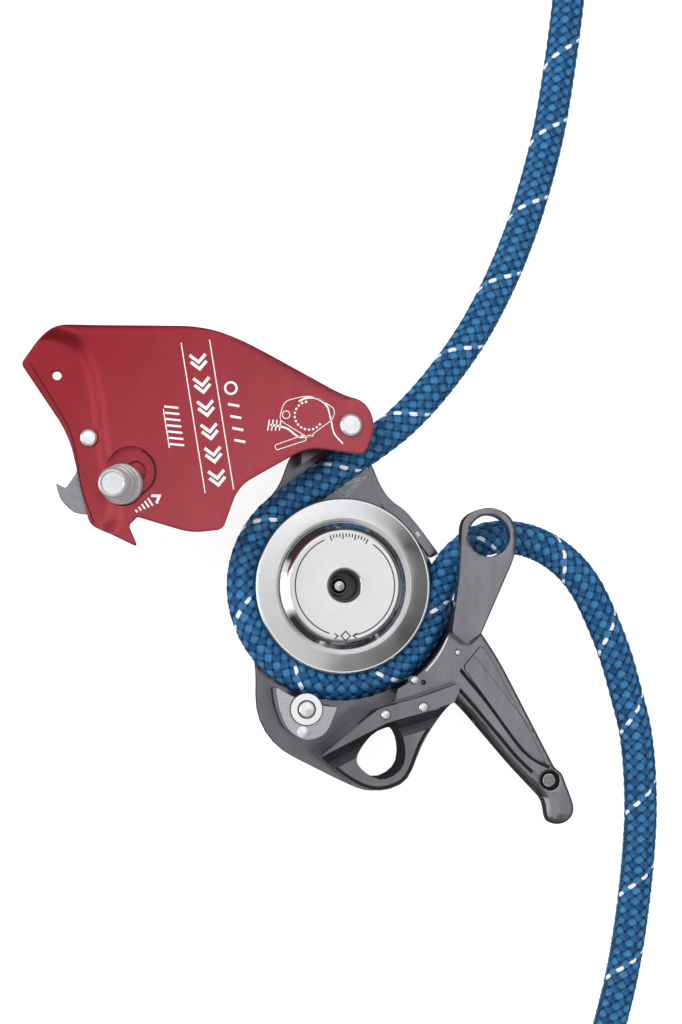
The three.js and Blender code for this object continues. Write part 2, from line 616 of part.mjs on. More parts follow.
const rope = new THREE.Group();
const seam = 348; // where the load strand's tube meets the hand strand's, in degrees round the sheave
const loadEnd = [...polar(WRAP_R, seam - 0.5), ROPE_Z];
const loadPoints = [...LOAD_ROUTE, ...wrapPoints(125, seam - 1.2, 22), loadEnd];
const leavingPoints = [...wrapPoints(seam, seam + 0.7, 1), ...wrapPoints(seam + 5, seam + 9, 1)];
const handPoints = [...leavingPoints, [41.6, 4.4, ROPE_Z], ...HAND_ROUTE];
add(rope, 'rope_load_strand', tube(loadPoints, ROPE_R, 50, 8), 'rope');
add(rope, 'rope_hand_strand', tube(handPoints, ROPE_R, 24, 8), 'rope');
const coilGroup = new THREE.Group();
coilGroup.position.set(...COIL_CENTRE, 0);
add(coilGroup, 'rope_coil', coil(), 'rope');
rope.add(coilGroup);
add(rope, 'rope_end_sleeve', tube(ROPE_END, ROPE_R, 1, 12), 'sleeve');

const ropeClutch = new THREE.Group();
ropeClutch.add(frame, sheave, pawls, brake, plateGroup, handle, rope);

export default ropeClutch;
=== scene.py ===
"""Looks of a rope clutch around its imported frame: camera, rope, finely shaped plates, finishes and light.

Lengths are in millimetres in the clutch's own frame, and become metres where they reach Blender.
"""

import math

import bmesh
import bpy
import numpy as np
from mathutils import Matrix, Vector


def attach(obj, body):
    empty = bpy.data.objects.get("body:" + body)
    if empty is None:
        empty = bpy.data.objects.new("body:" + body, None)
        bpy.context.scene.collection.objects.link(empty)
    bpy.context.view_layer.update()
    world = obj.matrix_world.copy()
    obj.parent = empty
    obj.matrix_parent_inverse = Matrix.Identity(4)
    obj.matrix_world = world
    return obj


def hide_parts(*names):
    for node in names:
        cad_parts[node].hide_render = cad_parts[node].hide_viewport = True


MM = 0.001
WELD = 0.002 * MM  # corners nearer than this become one
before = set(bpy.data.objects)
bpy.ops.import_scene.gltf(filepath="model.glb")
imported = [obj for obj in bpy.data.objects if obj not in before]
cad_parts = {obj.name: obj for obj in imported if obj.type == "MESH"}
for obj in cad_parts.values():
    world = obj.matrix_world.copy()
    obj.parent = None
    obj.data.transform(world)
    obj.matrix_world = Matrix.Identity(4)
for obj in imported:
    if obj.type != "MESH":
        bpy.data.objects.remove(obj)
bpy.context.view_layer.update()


def put(name, data):
    made = bpy.data.objects.new(name, data)
    bpy.context.collection.objects.link(made)
    return made


# ---------- camera ----------

CAMERA_PLACE = Vector((-115, -15, 850)) * MM
CAMERA_TARGET = Vector((0.2, 28.8, 32)) * MM
CAMERA_UP = Vector((0.013, 1, 0))


def make_camera():
    camera = put("camera", bpy.data.cameras.new("camera"))
    camera.data.lens = 74.9
    camera.data.sensor_width = 36
    camera.data.clip_start = 0.01
    ahead = (CAMERA_TARGET - CAMERA_PLACE).normalized()
    right = ahead.cross(CAMERA_UP).normalized()
    up = right.cross(ahead)
    camera.location = CAMERA_PLACE
    camera.rotation_mode = "QUATERNION"
    camera.rotation_quaternion = Matrix((right, up, -ahead)).transposed().to_quaternion()
    bpy.context.scene.camera = camera


make_camera()

# ---------- colours and material nodes ----------


def srgb(red, green, blue):
    """A screen colour of 0 to 255 as the linear colour that shaders take."""
    parts = [c / 255 for c in (red, green, blue)]
    return tuple(c / 12.92 if c <= 0.04045 else ((c + 0.055) / 1.055) ** 2.4 for c in parts) + (1,)


def grey(level):
    return (level, level, level, 1)


class Graph:
    """A node tree being wired up: each method adds a node and gives back its output."""

    def __init__(self, tree, frame_name="Object"):
        self.tree = tree
        self.where = tree.nodes.new("ShaderNodeTexCoord").outputs[frame_name]

    def feed(self, socket, value):
        if hasattr(value, "is_output"):
            self.tree.links.new(value, socket)
        else:
            socket.default_value = value

    def noise(self, scale, detail, stretch=(1, 1, 1)):
        mapping = self.tree.nodes.new("ShaderNodeMapping")
        mapping.inputs["Scale"].default_value = stretch
        self.tree.links.new(self.where, mapping.inputs["Vector"])
        node = self.tree.nodes.new("ShaderNodeTexNoise")
        self.tree.links.new(mapping.outputs["Vector"], node.inputs["Vector"])
        node.inputs["Scale"].default_value = scale
        node.inputs["Detail"].default_value = detail
        node.inputs["Roughness"].default_value = 0.55
        return node.outputs["Fac"]

    def math(self, operation, first, second=0.0, third=0.0):
        node = self.tree.nodes.new("ShaderNodeMath")
        node.operation = operation
        for socket, value in zip(node.inputs, (first, second, third)):
            self.feed(socket, value)
        return node.outputs["Value"]

    def length(self, x, y):
        squares = self.math("MULTIPLY", x, x), self.math("MULTIPLY", y, y)
        return self.math("SQRT", self.math("ADD", *squares))

    def spread(self, value, low, high, to_low=0.0, to_high=1.0):
        """The value carried smoothly from one range to another."""
        node = self.tree.nodes.new("ShaderNodeMapRange")
        node.interpolation_type = "SMOOTHSTEP"
        names = ("Value", "From Min", "From Max", "To Min", "To Max")
        for name, given in zip(names, (value, low, high, to_low, to_high)):
            self.feed(node.inputs[name], given)
        return node.outputs["Result"]

    def ramp(self, value, *stops):
        node = self.tree.nodes.new("ShaderNodeValToRGB")
        elements = node.color_ramp.elements
        while len(elements) < len(stops):
            elements.new(0.5)
        for element, (position, colour) in zip(elements, stops):
            element.position = position
            element.color = colour
        self.feed(node.inputs["Fac"], value)
        return node.outputs["Color"]

    def mix(self, share, first, second):
        node = self.tree.nodes.new("ShaderNodeMix")
        node.data_type = "RGBA"
        for place, value in zip((0, 6, 7), (share, first, second)):
            self.feed(node.inputs[place], value)
        return node.outputs[2]

    def attribute(self, name):
        node = self.tree.nodes.new("ShaderNodeAttribute")
        node.attribute_name = name
        return node

    def split(self, vector):
        node = self.tree.nodes.new("ShaderNodeSeparateXYZ")
        self.tree.links.new(vector, node.inputs["Vector"])
        return node.outputs["X"], node.outputs["Y"], node.outputs["Z"]


class Finish(Graph):
    """A material on a Principled shader."""

    def __init__(self, name):
        self.material = bpy.data.materials.new(name)
        self.material.use_nodes = True
        super().__init__(self.material.node_tree)
        self.shader = self.tree.nodes["Principled BSDF"]

    def socket(self, name, value):
        self.feed(self.shader.inputs[name], value)

    def coat(self, shade, ends, colours, metallic, wear, roughness, wear_ends=(0.3, 0.7)):
        """Colour that runs with a shade between two ends, and roughness that runs with wear."""
        self.socket("Base Color", self.ramp(shade, *zip(ends, colours)))
        self.socket("Metallic", metallic)
        self.socket("Roughness", self.spread(wear, *wear_ends, *roughness))

    def bump(self, height, strength, distance):
        node = self.tree.nodes.new("ShaderNodeBump")
        node.inputs["Strength"].default_value = strength
        node.inputs["Distance"].default_value = distance * MM
        self.feed(node.inputs["Height"], height)
        self.socket("Normal", node.outputs["Normal"])


def anodised(name, dark, light, metallic, roughness, grain, painted_light):
    """Bead-blasted and dyed aluminium: a fine even grain and faint handling marks.

    Its colour runs from dark to light across the object as a painted gradient of light: painted_light is its
    gain per metre in X and Y, and its start.
    """
    make = Finish(name)
    fine = make.noise(2600, 2)
    x, y, _ = make.split(make.where)
    by_x, by_y, start = painted_light
    # Painted light: the colour grows lighter along X and Y across the object.
    drift = make.math("MULTIPLY_ADD", x, by_x, make.math("MULTIPLY_ADD", y, by_y, start))
    shade = make.math("MULTIPLY_ADD", fine, 0.2, make.math("MULTIPLY", drift, 0.8))
    rub = make.noise(160, 4, (1, 0.25, 1))
    rough = roughness - 0.05, roughness + 0.07
    make.coat(shade, (0.3, 0.8), (dark, light), metallic, rub, rough, (0.3, 0.75))
    make.bump(fine, grain, 0.05)
    return make.material


def brushed(name, dark, light, roughness, scale=900, grain=0.2):
    """Bare metal with short fine scratches."""
    make = Finish(name)
    lines = make.noise(scale, 3)
    drift = make.noise(60, 2)
    shade = make.math("MULTIPLY_ADD", lines, 0.5, make.math("MULTIPLY", drift, 0.5))
    rough = roughness - 0.05, roughness + 0.08
    make.coat(shade, (0.3, 0.7), (dark, light), 1.0, lines, rough)
    make.bump(lines, grain, 0.03)
    return make.material


def turned_metal():
    """Turned and polished steel, with faint rings about the sheave's axis."""
    make = Finish("turned_steel")
    x, y, _ = make.split(make.where)
    ring_pitch = 0.35 * MM
    rings = make.math("SINE", make.math("MULTIPLY", make.length(x, y), 2 * math.pi / ring_pitch))
    uneven = make.noise(120, 3)
    shade = make.math("MULTIPLY_ADD", rings, 0.04, uneven)
    colours = srgb(240, 240, 242), srgb(248, 248, 249)
    make.coat(shade, (0.3, 0.7), colours, 1.0, uneven, (0.1, 0.14))
    return make.material


def bright_metal(name, dark, light):
    """Polished steel seen against white: pale, with faint turning marks."""
    make = Finish(name)
    wear = make.noise(900, 2, (1, 1, 4))
    make.coat(wear, (0.35, 0.65), (dark, light), 0.72, wear, (0.16, 0.2))
    return make.material


def cast(name, dark, light):
    """Investment-cast steel: pitted and matt."""
    make = Finish(name)
    pits = make.noise(1500, 3)
    make.coat(pits, (0.3, 0.65), (dark, light), 0.85, pits, (0.3, 0.4))
    make.bump(pits, 0.2, 0.04)
    return make.material


def print_or_painted_shade(name, colour, roughness=0.6):
    """A thin mark, a little uneven in cover: print, engraving, and painted shade all use it."""
    make = Finish(name)
    cover = make.noise(1800, 3)
    worn = tuple(c * 0.86 for c in colour[:3]) + (1,)
    make.socket("Base Color", make.ramp(cover, (0.35, worn), (0.6, colour)))
    make.socket("Roughness", roughness)
    return make.material


def sleeve_plastic():
    """Heat-shrunk sleeve: dark and slightly glossy, with fine wrinkles round it."""
    make = Finish("sleeve_plastic")
    wrinkle = make.noise(420, 3, (1, 3, 1))
    colours = srgb(22, 24, 29), srgb(44, 47, 54)
    make.coat(wrinkle, (0.35, 0.7), colours, 0.0, wrinkle, (0.34, 0.5))
    make.bump(wrinkle, 0.5, 0.3)
    return make.material


STRANDS = 8  # in each direction of the rope's braid, each of two yarns
CROSSING_PITCH = 4.3  # mm along the rope from one crossing of two strands to the next


def braid_yarn():
    """Blue polyester braid with painted shade in its crevices and painted sheen on its strands, finely lined
    along each strand, with one white tracer yarn.

    braided() gives the mesh its attributes: lift is the braid's height, weave its (first, second, shade),
    where shade is the painted sheen with some random lightness.
    """
    make = Finish("blue_braid")
    lift = make.attribute("lift").outputs["Fac"]
    first_on_top = make.math("GREATER_THAN", make.attribute("on_top").outputs["Fac"], 0.5)
    first, second, shade = make.split(make.attribute("weave").outputs["Vector"])
    difference = make.math("SUBTRACT", first, second)
    across = make.math("MULTIPLY_ADD", difference, first_on_top, second)
    fibres_in_strand = 10
    fibres = make.math("SINE", make.math("MULTIPLY", across, 2 * math.pi * fibres_in_strand))
    speckle = make.noise(1300, 3)
    height = make.math("MULTIPLY_ADD", fibres, 0.05, make.math("MULTIPLY_ADD", speckle, 0.3, lift))
    # Painted shade: the braid is coloured darker where it lies lower, on the blue and on the white tracer.
    steps = 0.55, 0.78, 1.05
    dark = make.ramp(height, *zip(steps, (srgb(1, 6, 16), srgb(5, 36, 70), srgb(11, 56, 98))))
    light = make.ramp(height, *zip(steps, (srgb(1, 8, 20), srgb(18, 76, 122), srgb(58, 126, 176))))
    # Painted sheen: each strand's lightness mixes the dark and the light blues.
    painted_sheen = make.math("MULTIPLY_ADD", fibres, 0.12, make.math("MULTIPLY_ADD", speckle, 0.5, shade))
    blue = make.mix(make.spread(painted_sheen, 0.1, 1.4), dark, light)
    strand = make.math("FLOORED_MODULO", second, STRANDS)
    tracer_centre, tracer_reach = 0.26, 0.24
    from_yarn = make.math("ABSOLUTE", make.math("SUBTRACT", strand, tracer_centre))
    second_on_top = make.math("SUBTRACT", 1.0, first_on_top)
    shown = make.math("MULTIPLY", second_on_top, make.math("GREATER_THAN", lift, 0.5))
    tracer = make.math("MULTIPLY", make.math("LESS_THAN", from_yarn, tracer_reach), shown)
    white = make.ramp(height, (0.5, srgb(150, 160, 178)), (0.9, srgb(226, 228, 232)))
    make.socket("Base Color", make.mix(tracer, blue, white))
    make.socket("Roughness", 0.5)
    make.socket("Specular IOR Level", 0.32)
    make.bump(make.math("MULTIPLY_ADD", speckle, 0.4, make.math("MULTIPLY", fibres, 0.5)), 0.5, 0.12)
    return make.material


RED, BLACK = "red_anodised", "black_anodised"
FINISH = {
    # The last tuple of each anodised finish is painted light: red grows lighter toward +X and -Y, black
    # toward +X.
    "red": anodised(RED, srgb(156, 38, 50), srgb(186, 88, 98), 0.62, 0.34, 0.2, (3.3, -3.3, 0.86)),
    "black": anodised(BLACK, srgb(120, 120, 127), srgb(156, 156, 163), 0.93, 0.17, 0.1, (6, 0, 0.3)),
    "steel": brushed("plated_steel", srgb(150, 152, 156), srgb(196, 198, 201), 0.26),
    "silver": brushed("polished_pin", srgb(222, 223, 226), srgb(244, 244, 246), 0.2, scale=400, grain=0.1),
    "dark_steel": brushed("dark_steel", srgb(70, 71, 74), srgb(110, 111, 114), 0.34),
    "cast": cast("cast_steel", srgb(190, 191, 195), srgb(222, 223, 226)),
    "cast_dark": cast("cast_dark", srgb(150, 151, 157), srgb(176, 177, 183)),
    "bright": bright_metal("bright_metal", srgb(246, 246, 249), srgb(252, 252, 254)),
    "knob": bright_metal("knob_metal", srgb(228, 229, 233), srgb(240, 241, 244)),
    "bronze": brushed("bronze", srgb(150, 108, 58), srgb(188, 142, 84), 0.32),
    "rope": braid_yarn(),
    "sleeve": sleeve_plastic(),
    "turned": turned_metal(),
    "white_print": print_or_painted_shade("white_print", srgb(236, 236, 236)),
    "dark_print": print_or_painted_shade("dark_print", srgb(74, 60, 58)),
    # Painted shade: near black for gaps, chamfers, grooves and the screw seat, dark red for the plate's
    # recess wall and fold.
    "painted_shade": print_or_painted_shade("painted_shade", srgb(12, 12, 13), 0.4),
    "shaded_red": print_or_painted_shade("shaded_red", srgb(58, 8, 14), 0.5),
}

# ---------- mesh helpers ----------


def outline(corners, arc_steps=8):
    """Points of a closed outline through corners (x, y, reach), each rounded from that far before it."""
    points = []
    for i, corner in enumerate(corners):
        here = np.array(corner[:2], float)
        reach = corner[2] if len(corner) > 2 else 0
        ends = []
        for other in (corners[i - 1], corners[(i + 1) % len(corners)]):
            step = np.array(other[:2], float) - here
            ends.append(here + step * min(reach / np.hypot(*step), 0.48))
        if reach == 0:
            points.append(here)
            continue
        for t in np.linspace(0, 1, arc_steps + 1):
            points.append((1 - t) ** 2 * ends[0] + 2 * t * (1 - t) * here + t * t * ends[1])
    return np.array(points)


def arc(centre, radius, first, last, steps):
    """Points of an arc between two angles in degrees."""
    turn = np.radians(np.linspace(first, last, steps + 1))
    return np.array(centre) + radius * np.array([np.cos(turn), np.sin(turn)]).T


def circle(centre, radius, steps=48):
    return arc(centre, radius, 0, 360, steps)[:-1]


def stadium(start, end, radius, steps=15):
    """Points round a slot whose rounded ends are centred on start and end."""
    along = math.degrees(math.atan2(end[1] - start[1], end[0] - start[0]))
    ends = ((end, along - 90), (start, along + 90))
    return np.vstack([arc(centre, radius, first, first + 180, steps) for centre, first in ends])


def opened(mesh):
    work = bmesh.new()
    work.from_mesh(mesh)
    return work


def close_into(work, mesh):
    work.to_mesh(mesh)
    work.free()


def put_work(name, work):
    """Puts a finished bmesh in the scene as an object."""
    mesh = bpy.data.meshes.new(name)
    close_into(work, mesh)
    return put(name, mesh)


def as_evaluated(piece):
    """A new mesh with the object's curve or modifiers worked out."""
    bpy.context.view_layer.update()
    return bpy.data.meshes.new_from_object(piece.evaluated_get(bpy.context.evaluated_depsgraph_get()))


def cut_across(work, axis, places):
    """Adds edges where planes square to X (axis 0) or to Y (axis 1) cross a mesh being made."""
    for place in places:
        everything = work.verts[:] + work.edges[:] + work.faces[:]
        at, normal = [0.0, 0.0, 0.0], [0, 0, 0]
        at[axis], normal[axis] = place * MM, 1
        bmesh.ops.bisect_plane(work, geom=everything, dist=1e-7, plane_co=at, plane_no=normal)


def plan_places(work):
    """The places in plan of a mesh's corners."""
    return np.array([vert.co[:2] for vert in work.verts]) / MM


def flat_solid(name, plan, bottom, top, bevel, holes=(), bevel_steps=2):
    """A plate with rounded rims between two heights."""
    curve = bpy.data.curves.new(name, "CURVE")
    curve.dimensions = "2D"
    curve.fill_mode = "BOTH"
    rings = [(plan, 1)] + [(hole, -1) for hole in holes]
    for ring, way in rings:
        x, y = ring.T
        if np.sum(x * np.roll(y, -1) - y * np.roll(x, -1)) * way < 0:
            ring = ring[::-1]
        spline = curve.splines.new("POLY")
        spline.points.add(len(ring) - 1)
        for point, (x, y) in zip(spline.points, ring):
            point.co = (x * MM, y * MM, 0, 1)
        spline.use_cyclic_u = True
    curve.extrude = ((top - bottom) / 2 - bevel) * MM
    curve.bevel_depth = bevel * MM
    curve.offset = -bevel * MM
    curve.bevel_resolution = bevel_steps
    holder = put(name, curve)
    mesh = as_evaluated(holder)
    bpy.data.objects.remove(holder)
    bpy.data.curves.remove(curve)
    work = opened(mesh)
    bmesh.ops.remove_doubles(work, verts=work.verts, dist=WELD)
    bmesh.ops.recalc_face_normals(work, faces=work.faces)
    bmesh.ops.translate(work, verts=work.verts, vec=(0, 0, (top + bottom) / 2 * MM))
    close_into(work, mesh)
    return put(name, mesh)


def turned(name, profile, sides, centre=(0, 0)):
    """A body of revolution about Z from a profile of (radius, height) points, closed or from axis to axis."""
    on_axis = 1e-6
    turn = np.linspace(0, 2 * math.pi, sides, endpoint=False)
    work = bmesh.new()
    rings = []
    for radius, height in profile:
        if radius < on_axis:
            rings.append([work.verts.new(Vector((*centre, height)) * MM)] * sides)
            continue
        ring = [(centre[0] + radius * math.cos(a), centre[1] + radius * math.sin(a), height) for a in turn]
        rings.append([work.verts.new(Vector(place) * MM) for place in ring])
    open_profile = profile[0][0] < on_axis and profile[-1][0] < on_axis
    pairs = list(zip(rings, rings[1:])) + ([] if open_profile else [(rings[-1], rings[0])])
    for lower, upper in pairs:
        for i in range(sides):
            j = (i + 1) % sides
            corners = []
            for vert in (lower[i], lower[j], upper[j], upper[i]):
                if vert not in corners:
                    corners.append(vert)
            if len(corners) > 2:
                work.faces.new(corners)
    bmesh.ops.recalc_face_normals(work, faces=work.faces)
    return put_work(name, work)


def dress(piece, finish, body, nodes=(), sharp=32, crisp=False):
    """Gives a piece its finish and shading, and ties it to its body and the CAD nodes it stands for."""
    piece.data.materials.clear()
    piece.data.materials.append(FINISH[finish])
    piece.data.shade_smooth()
    piece.data.set_sharp_from_angle(angle=math.radians(sharp))
    if crisp:
        shading = piece.modifiers.new("shading", "WEIGHTED_NORMAL")
        shading.keep_sharp = True
    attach(piece, body)
    if nodes:
        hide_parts(*nodes)
    return piece


def stroke(work, points, width, level, closed=False):
    """Adds a thin line along points, with its top at the level, to a mesh being made."""
    thickness = 0.08
    points = np.array(points, float)
    steps = np.roll(points, -1, axis=0) - points
    steps /= np.hypot(*steps.T)[:, None]
    before = np.roll(steps, 1, axis=0)
    if not closed:
        before[0], steps[-1] = steps[0], before[-1]
    rows = []
    for place, into, out in zip(points, before, steps):
        mean = (into + out) / np.hypot(*(into + out))
        across = np.array([-mean[1], mean[0]]) * width / 2 / max(mean.dot(into), 0.5)
        left, right, foot = place + across, place - across, level - thickness
        corners = [(*left, level), (*right, level), (*right, foot), (*left, foot)]
        rows.append([work.verts.new(Vector(corner) * MM) for corner in corners])
    pairs = list(zip(rows, rows[1:])) + ([(rows[-1], rows[0])] if closed else [])
    for first, second in pairs:
        for k in range(4):
            m = (k + 1) % 4
            work.faces.new((first[k], second[k], second[m], first[m]))
    if not closed:
        work.faces.new(rows[0])
        work.faces.new(rows[-1][::-1])


def marks(name, lines, level, finish, body):
    """One piece of thin lines: each line is (points, width) or (points, width, True) when it closes."""
    work = bmesh.new()
    for line in lines:
        stroke(work, *line[:2], level, *line[2:])
    bmesh.ops.recalc_face_normals(work, faces=work.faces)
    dress(put_work(name, work), finish, body)


def between(start, end, share, aside=0.0):
    """A point part of the way from start to end, moved aside to the left."""
    start, end = np.array(start, float), np.array(end, float)
    along = (end - start) / np.hypot(*(end - start))
    return start + (end - start) * share + aside * np.array([-along[1], along[0]])


# ---------- rope ----------

ROPE_D = 13.0
ROPE_Z = 29.0
WRAP_R = 37.8
COIL_CENTRE = (25, 342)
COIL_EXIT = [(103, 342, 6.5), (103, 318, 6.5)]
LOAD_ROUTE = [
    (103, 295, 6.5), (102.8, 270, 6.5), (101.6, 246, 6.5), (99.4, 229, 6.6), (95.7, 207, 7.4),
    (90.9, 184.9, 10), (84.2, 162.6, 13.6), (76.1, 140.6, 17.2), (66, 118.8, 20.8), (53.3, 97.3, 24.4),
    (36.8, 76.2, 27.6), (24, 63.4, 28.6), (9.4, 52.6, ROPE_Z), (-6, 42, ROPE_Z),
]
HAND_ROUTE = [
    (41.6, 4.4, ROPE_Z), (47, 11.4, ROPE_Z), (56, 17.4, 28.9), (68, 18.6, 28.4), (79.6, 15.6, 27.8),
    (90.4, 8.6, 27), (98.2, -0.6, 26.2), (105.4, -14.6, 24.6), (111.2, -28.8, 22.8), (115.7, -43.4, 20.6),
    (119.7, -57.7, 18.2), (122, -72.6, 15.4), (123.2, -91, 12), (122.8, -106.6, 9.6), (121.2, -124.8, 7.6),
    (118.2, -145, 6.6), (114.6, -161.4, 6.5), (110.6, -175.6, 6.5), (107.2, -187, 6.5),
]
ROPE_END = (102.4, -202.2, 6.5)
SLEEVE_LENGTH = 15.5
SEAM_DEGREES = 348


def ease(value, low, high):
    t = min(max((value - low) / (high - low), 0), 1)
    return t * t * (3 - 2 * t)


def coil_route():
    """The coil's three turns, from the rope's far end to where the load strand begins.

    Worked out from the load strand back: an outer turn, an inner one, and a third laid on top of the two.
    """
    outer, inner, middle = 78, 65, 71.5
    floor, upper, hump = 6.5, 17.8, 1.8
    points = []
    for degrees in range(0, 946, 9):
        radius = outer + (inner - outer) * ease(degrees, 300, 360)
        radius += (middle - inner) * ease(degrees, 630, 680)
        height = floor + (upper - floor) * ease(degrees, 600, 660)
        height += hump * ease(degrees, 640, 670) * (1 - ease(degrees, 715, 750))
        turn = math.radians(degrees)
        x, y = COIL_CENTRE[0] + radius * math.cos(turn), COIL_CENTRE[1] + radius * math.sin(turn)
        points.append((x, y, height))
    return points[::-1]


def on_wrap(degrees):
    """A place on the rope's path round the sheave."""
    turn = math.radians(degrees)
    return WRAP_R * math.cos(turn), WRAP_R * math.sin(turn), ROPE_Z


def wrap_route():
    return [on_wrap(degrees) for degrees in range(125, SEAM_DEGREES + 10, 6)]


def catmull_rom(points, per_span=24):
    """A smooth curve through the points."""
    points = np.array(points, float)
    held = np.vstack([2 * points[0] - points[1], points, 2 * points[-1] - points[-2]])
    spans = []
    for a, b, c, d in zip(held, held[1:], held[2:], held[3:]):
        gaps = [np.linalg.norm(q - p) ** 0.5 for p, q in ((a, b), (b, c), (c, d))]
        t0, t1, t2, t3 = np.cumsum([0, *gaps])
        t = np.linspace(t1, t2, per_span, endpoint=False)[:, None]

        def blend(low, high, first, second):
            return (high - t) / (high - low) * first + (t - low) / (high - low) * second

        ab, bc, cd = blend(t0, t1, a, b), blend(t1, t2, b, c), blend(t2, t3, c, d)
        spans.append(blend(t1, t2, blend(t0, t2, ab, bc), blend(t1, t3, bc, cd)))
    return np.vstack([*spans, points[-1:]])


def even_steps(curve, step):
    """The curve's points again at even distances along it."""
    lengths = np.concatenate([[0], np.cumsum(np.linalg.norm(np.diff(curve, axis=0), axis=1))])
    at = np.linspace(0, lengths[-1], int(round(lengths[-1] / step)) + 1)
    return np.array([np.interp(at, lengths, curve[:, k]) for k in range(3)]).T, at


class Rope:
    """The rope's whole centreline with a frame carried along it without twist."""

    def __init__(self, route, step=0.55):
        self.points, self.at = even_steps(catmull_rom(route), step)
        self.tangents = np.gradient(self.points, axis=0)
        self.tangents /= np.linalg.norm(self.tangents, axis=1)[:, None]
        normal = np.array([0.0, 0.0, 1.0])
        self.normals = []
        for tangent in self.tangents:
            normal = normal - tangent * normal.dot(tangent)
            normal /= np.linalg.norm(normal)
            self.normals.append(normal)
        self.normals = np.array(self.normals)
        self.binormals = np.cross(self.tangents, self.normals)

    def nearest(self, place, after=0):
        return after + int(np.argmin(np.linalg.norm(self.points[after:] - np.array(place), axis=1)))


def braid_height(first, second):
    """Height of a one-over-one-under braid, 0 to 1, whether the first family is on top, and how light it is.

    first and second count strands of the two families, so their whole parts say which strands cross here.
    Its lightness is painted sheen, which drifts along each strand where it shows and differs between the two
    families, and it also differs by chance from one crossing to the next.
    """
    i, j = np.floor(first), np.floor(second)
    first_along = np.mod(second - i + 0.5, 2) - 1
    second_along = np.mod(first - j - 0.5, 2) - 1

    def strand(along, across):
        """It rises over a crossing, is round across, and is round again across each of its two yarns."""
        rise = np.cos(along * math.pi)
        rise = np.sign(rise) * np.abs(rise) ** 0.6
        whole = np.sqrt(np.maximum(1 - np.abs(2 * across) ** 2.6, 0))
        yarn = np.sqrt(np.maximum(1 - ((np.abs(across) - 0.25) * 4) ** 2 * 0.92, 0))
        return 0.42 * rise + 0.42 * whole + 0.16 * yarn

    a = strand(first_along, first - i - 0.5)
    b = strand(second_along, second - j - 0.5)
    top = a >= b
    chance = np.modf(np.abs(np.sin(i * 12.9898 + j * 78.233)) * 43758.5453)[0]
    # Painted sheen by family and along the strand, plus a random lightness for each crossing.
    shade = np.where(top, 0.75 - 0.55 * first_along, 0.3 + 0.5 * second_along) + 0.35 * (chance - 0.5)
    return np.clip(np.maximum(a, b), 0, 1), top, shade


def braided(name, rope, first, last, sides, stride):
    """One stretch of the rope as a closed mesh, from ring first to ring last of the centreline."""
    rows = np.append(np.arange(first, last, stride), last)
    turn = np.arange(sides + 1) / sides
    along = rope.at[rows][:, None] / CROSSING_PITCH
    p = STRANDS * turn[None, :] + along
    q = STRANDS * turn[None, :] - along
    lift, on_top, shade = braid_height(p, q)
    relief, proud = 1.15, 0.15
    radius = ROPE_D / 2 - relief + relief * lift + proud
    angle = 2 * math.pi * turn[None, :]
    ring = (
        rope.normals[rows][:, None, :] * np.cos(angle)[..., None]
        + rope.binormals[rows][:, None, :] * np.sin(angle)[..., None]
    )
    shell = rope.points[rows][:, None, :] + ring * radius[..., None]
    count = len(rows)
    verts = shell[:, :-1].reshape(-1, 3)
    verts = np.vstack([verts, rope.points[first], rope.points[last]]) * MM
    r, s = np.meshgrid(np.arange(count - 1), np.arange(sides), indexing="ij")
    r, s = r.ravel(), s.ravel()
    t = (s + 1) % sides
    quads = np.stack([r * sides + s, r * sides + t, (r + 1) * sides + t, (r + 1) * sides + s], axis=1)
    ends = []
    for side in range(sides):
        other = (side + 1) % sides
        ends.append([other, side, count * sides])
        ends.append([(count - 1) * sides + side, (count - 1) * sides + other, count * sides + 1])
    mesh = bpy.data.meshes.new(name)
    mesh.from_pydata(verts.tolist(), [], quads.tolist() + ends)
    cap_loops = len(ends) * 3
    corners = ((r, s), (r, s + 1), (r + 1, s + 1), (r + 1, s))
    weave = np.stack([np.stack([p[at], q[at]], -1) for at in corners], axis=1).reshape(-1, 2)
    # Painted sheen of each crossing, with its random lightness, goes into the weave attribute's third part.
    light = shade[r, s].repeat(4)[:, None]
    weave = np.vstack([np.hstack([weave, light]), np.zeros((cap_loops, 3))])
    store(mesh, "weave", "FLOAT_VECTOR", "CORNER", "vector", weave)
    for key, field in (("lift", lift), ("on_top", on_top)):
        store(mesh, key, "FLOAT", "POINT", "value", np.append(field[:, :-1].ravel(), [0, 0]))
    return put(name, mesh)


def store(mesh, name, kind, domain, field, values):
    attribute = mesh.attributes.new(name, kind, domain)
    attribute.data.foreach_set(field, np.asarray(values, np.float32).ravel())


def end_sleeve(name, start, end, nodes=()):
    """A shrunk sleeve over the rope's end, with a rounded shoulder and a folded-in tip."""
    start, end = Vector(start), Vector(end)
    length = (end - start).length
    corners = [(0, 0), (6.95, 0, 0.8), (6.8, length * 0.5, 6), (6.85, length, 1.6), (0, length - 0.3)]
    sleeve = turned(name, outline(corners, 5), 64)
    turn = Vector((0, 0, 1)).rotation_difference(end - start)
    sleeve.data.transform(Matrix.Translation(start * MM) @ turn.to_matrix().to_4x4())
    return dress(sleeve, "sleeve", "frame", nodes)


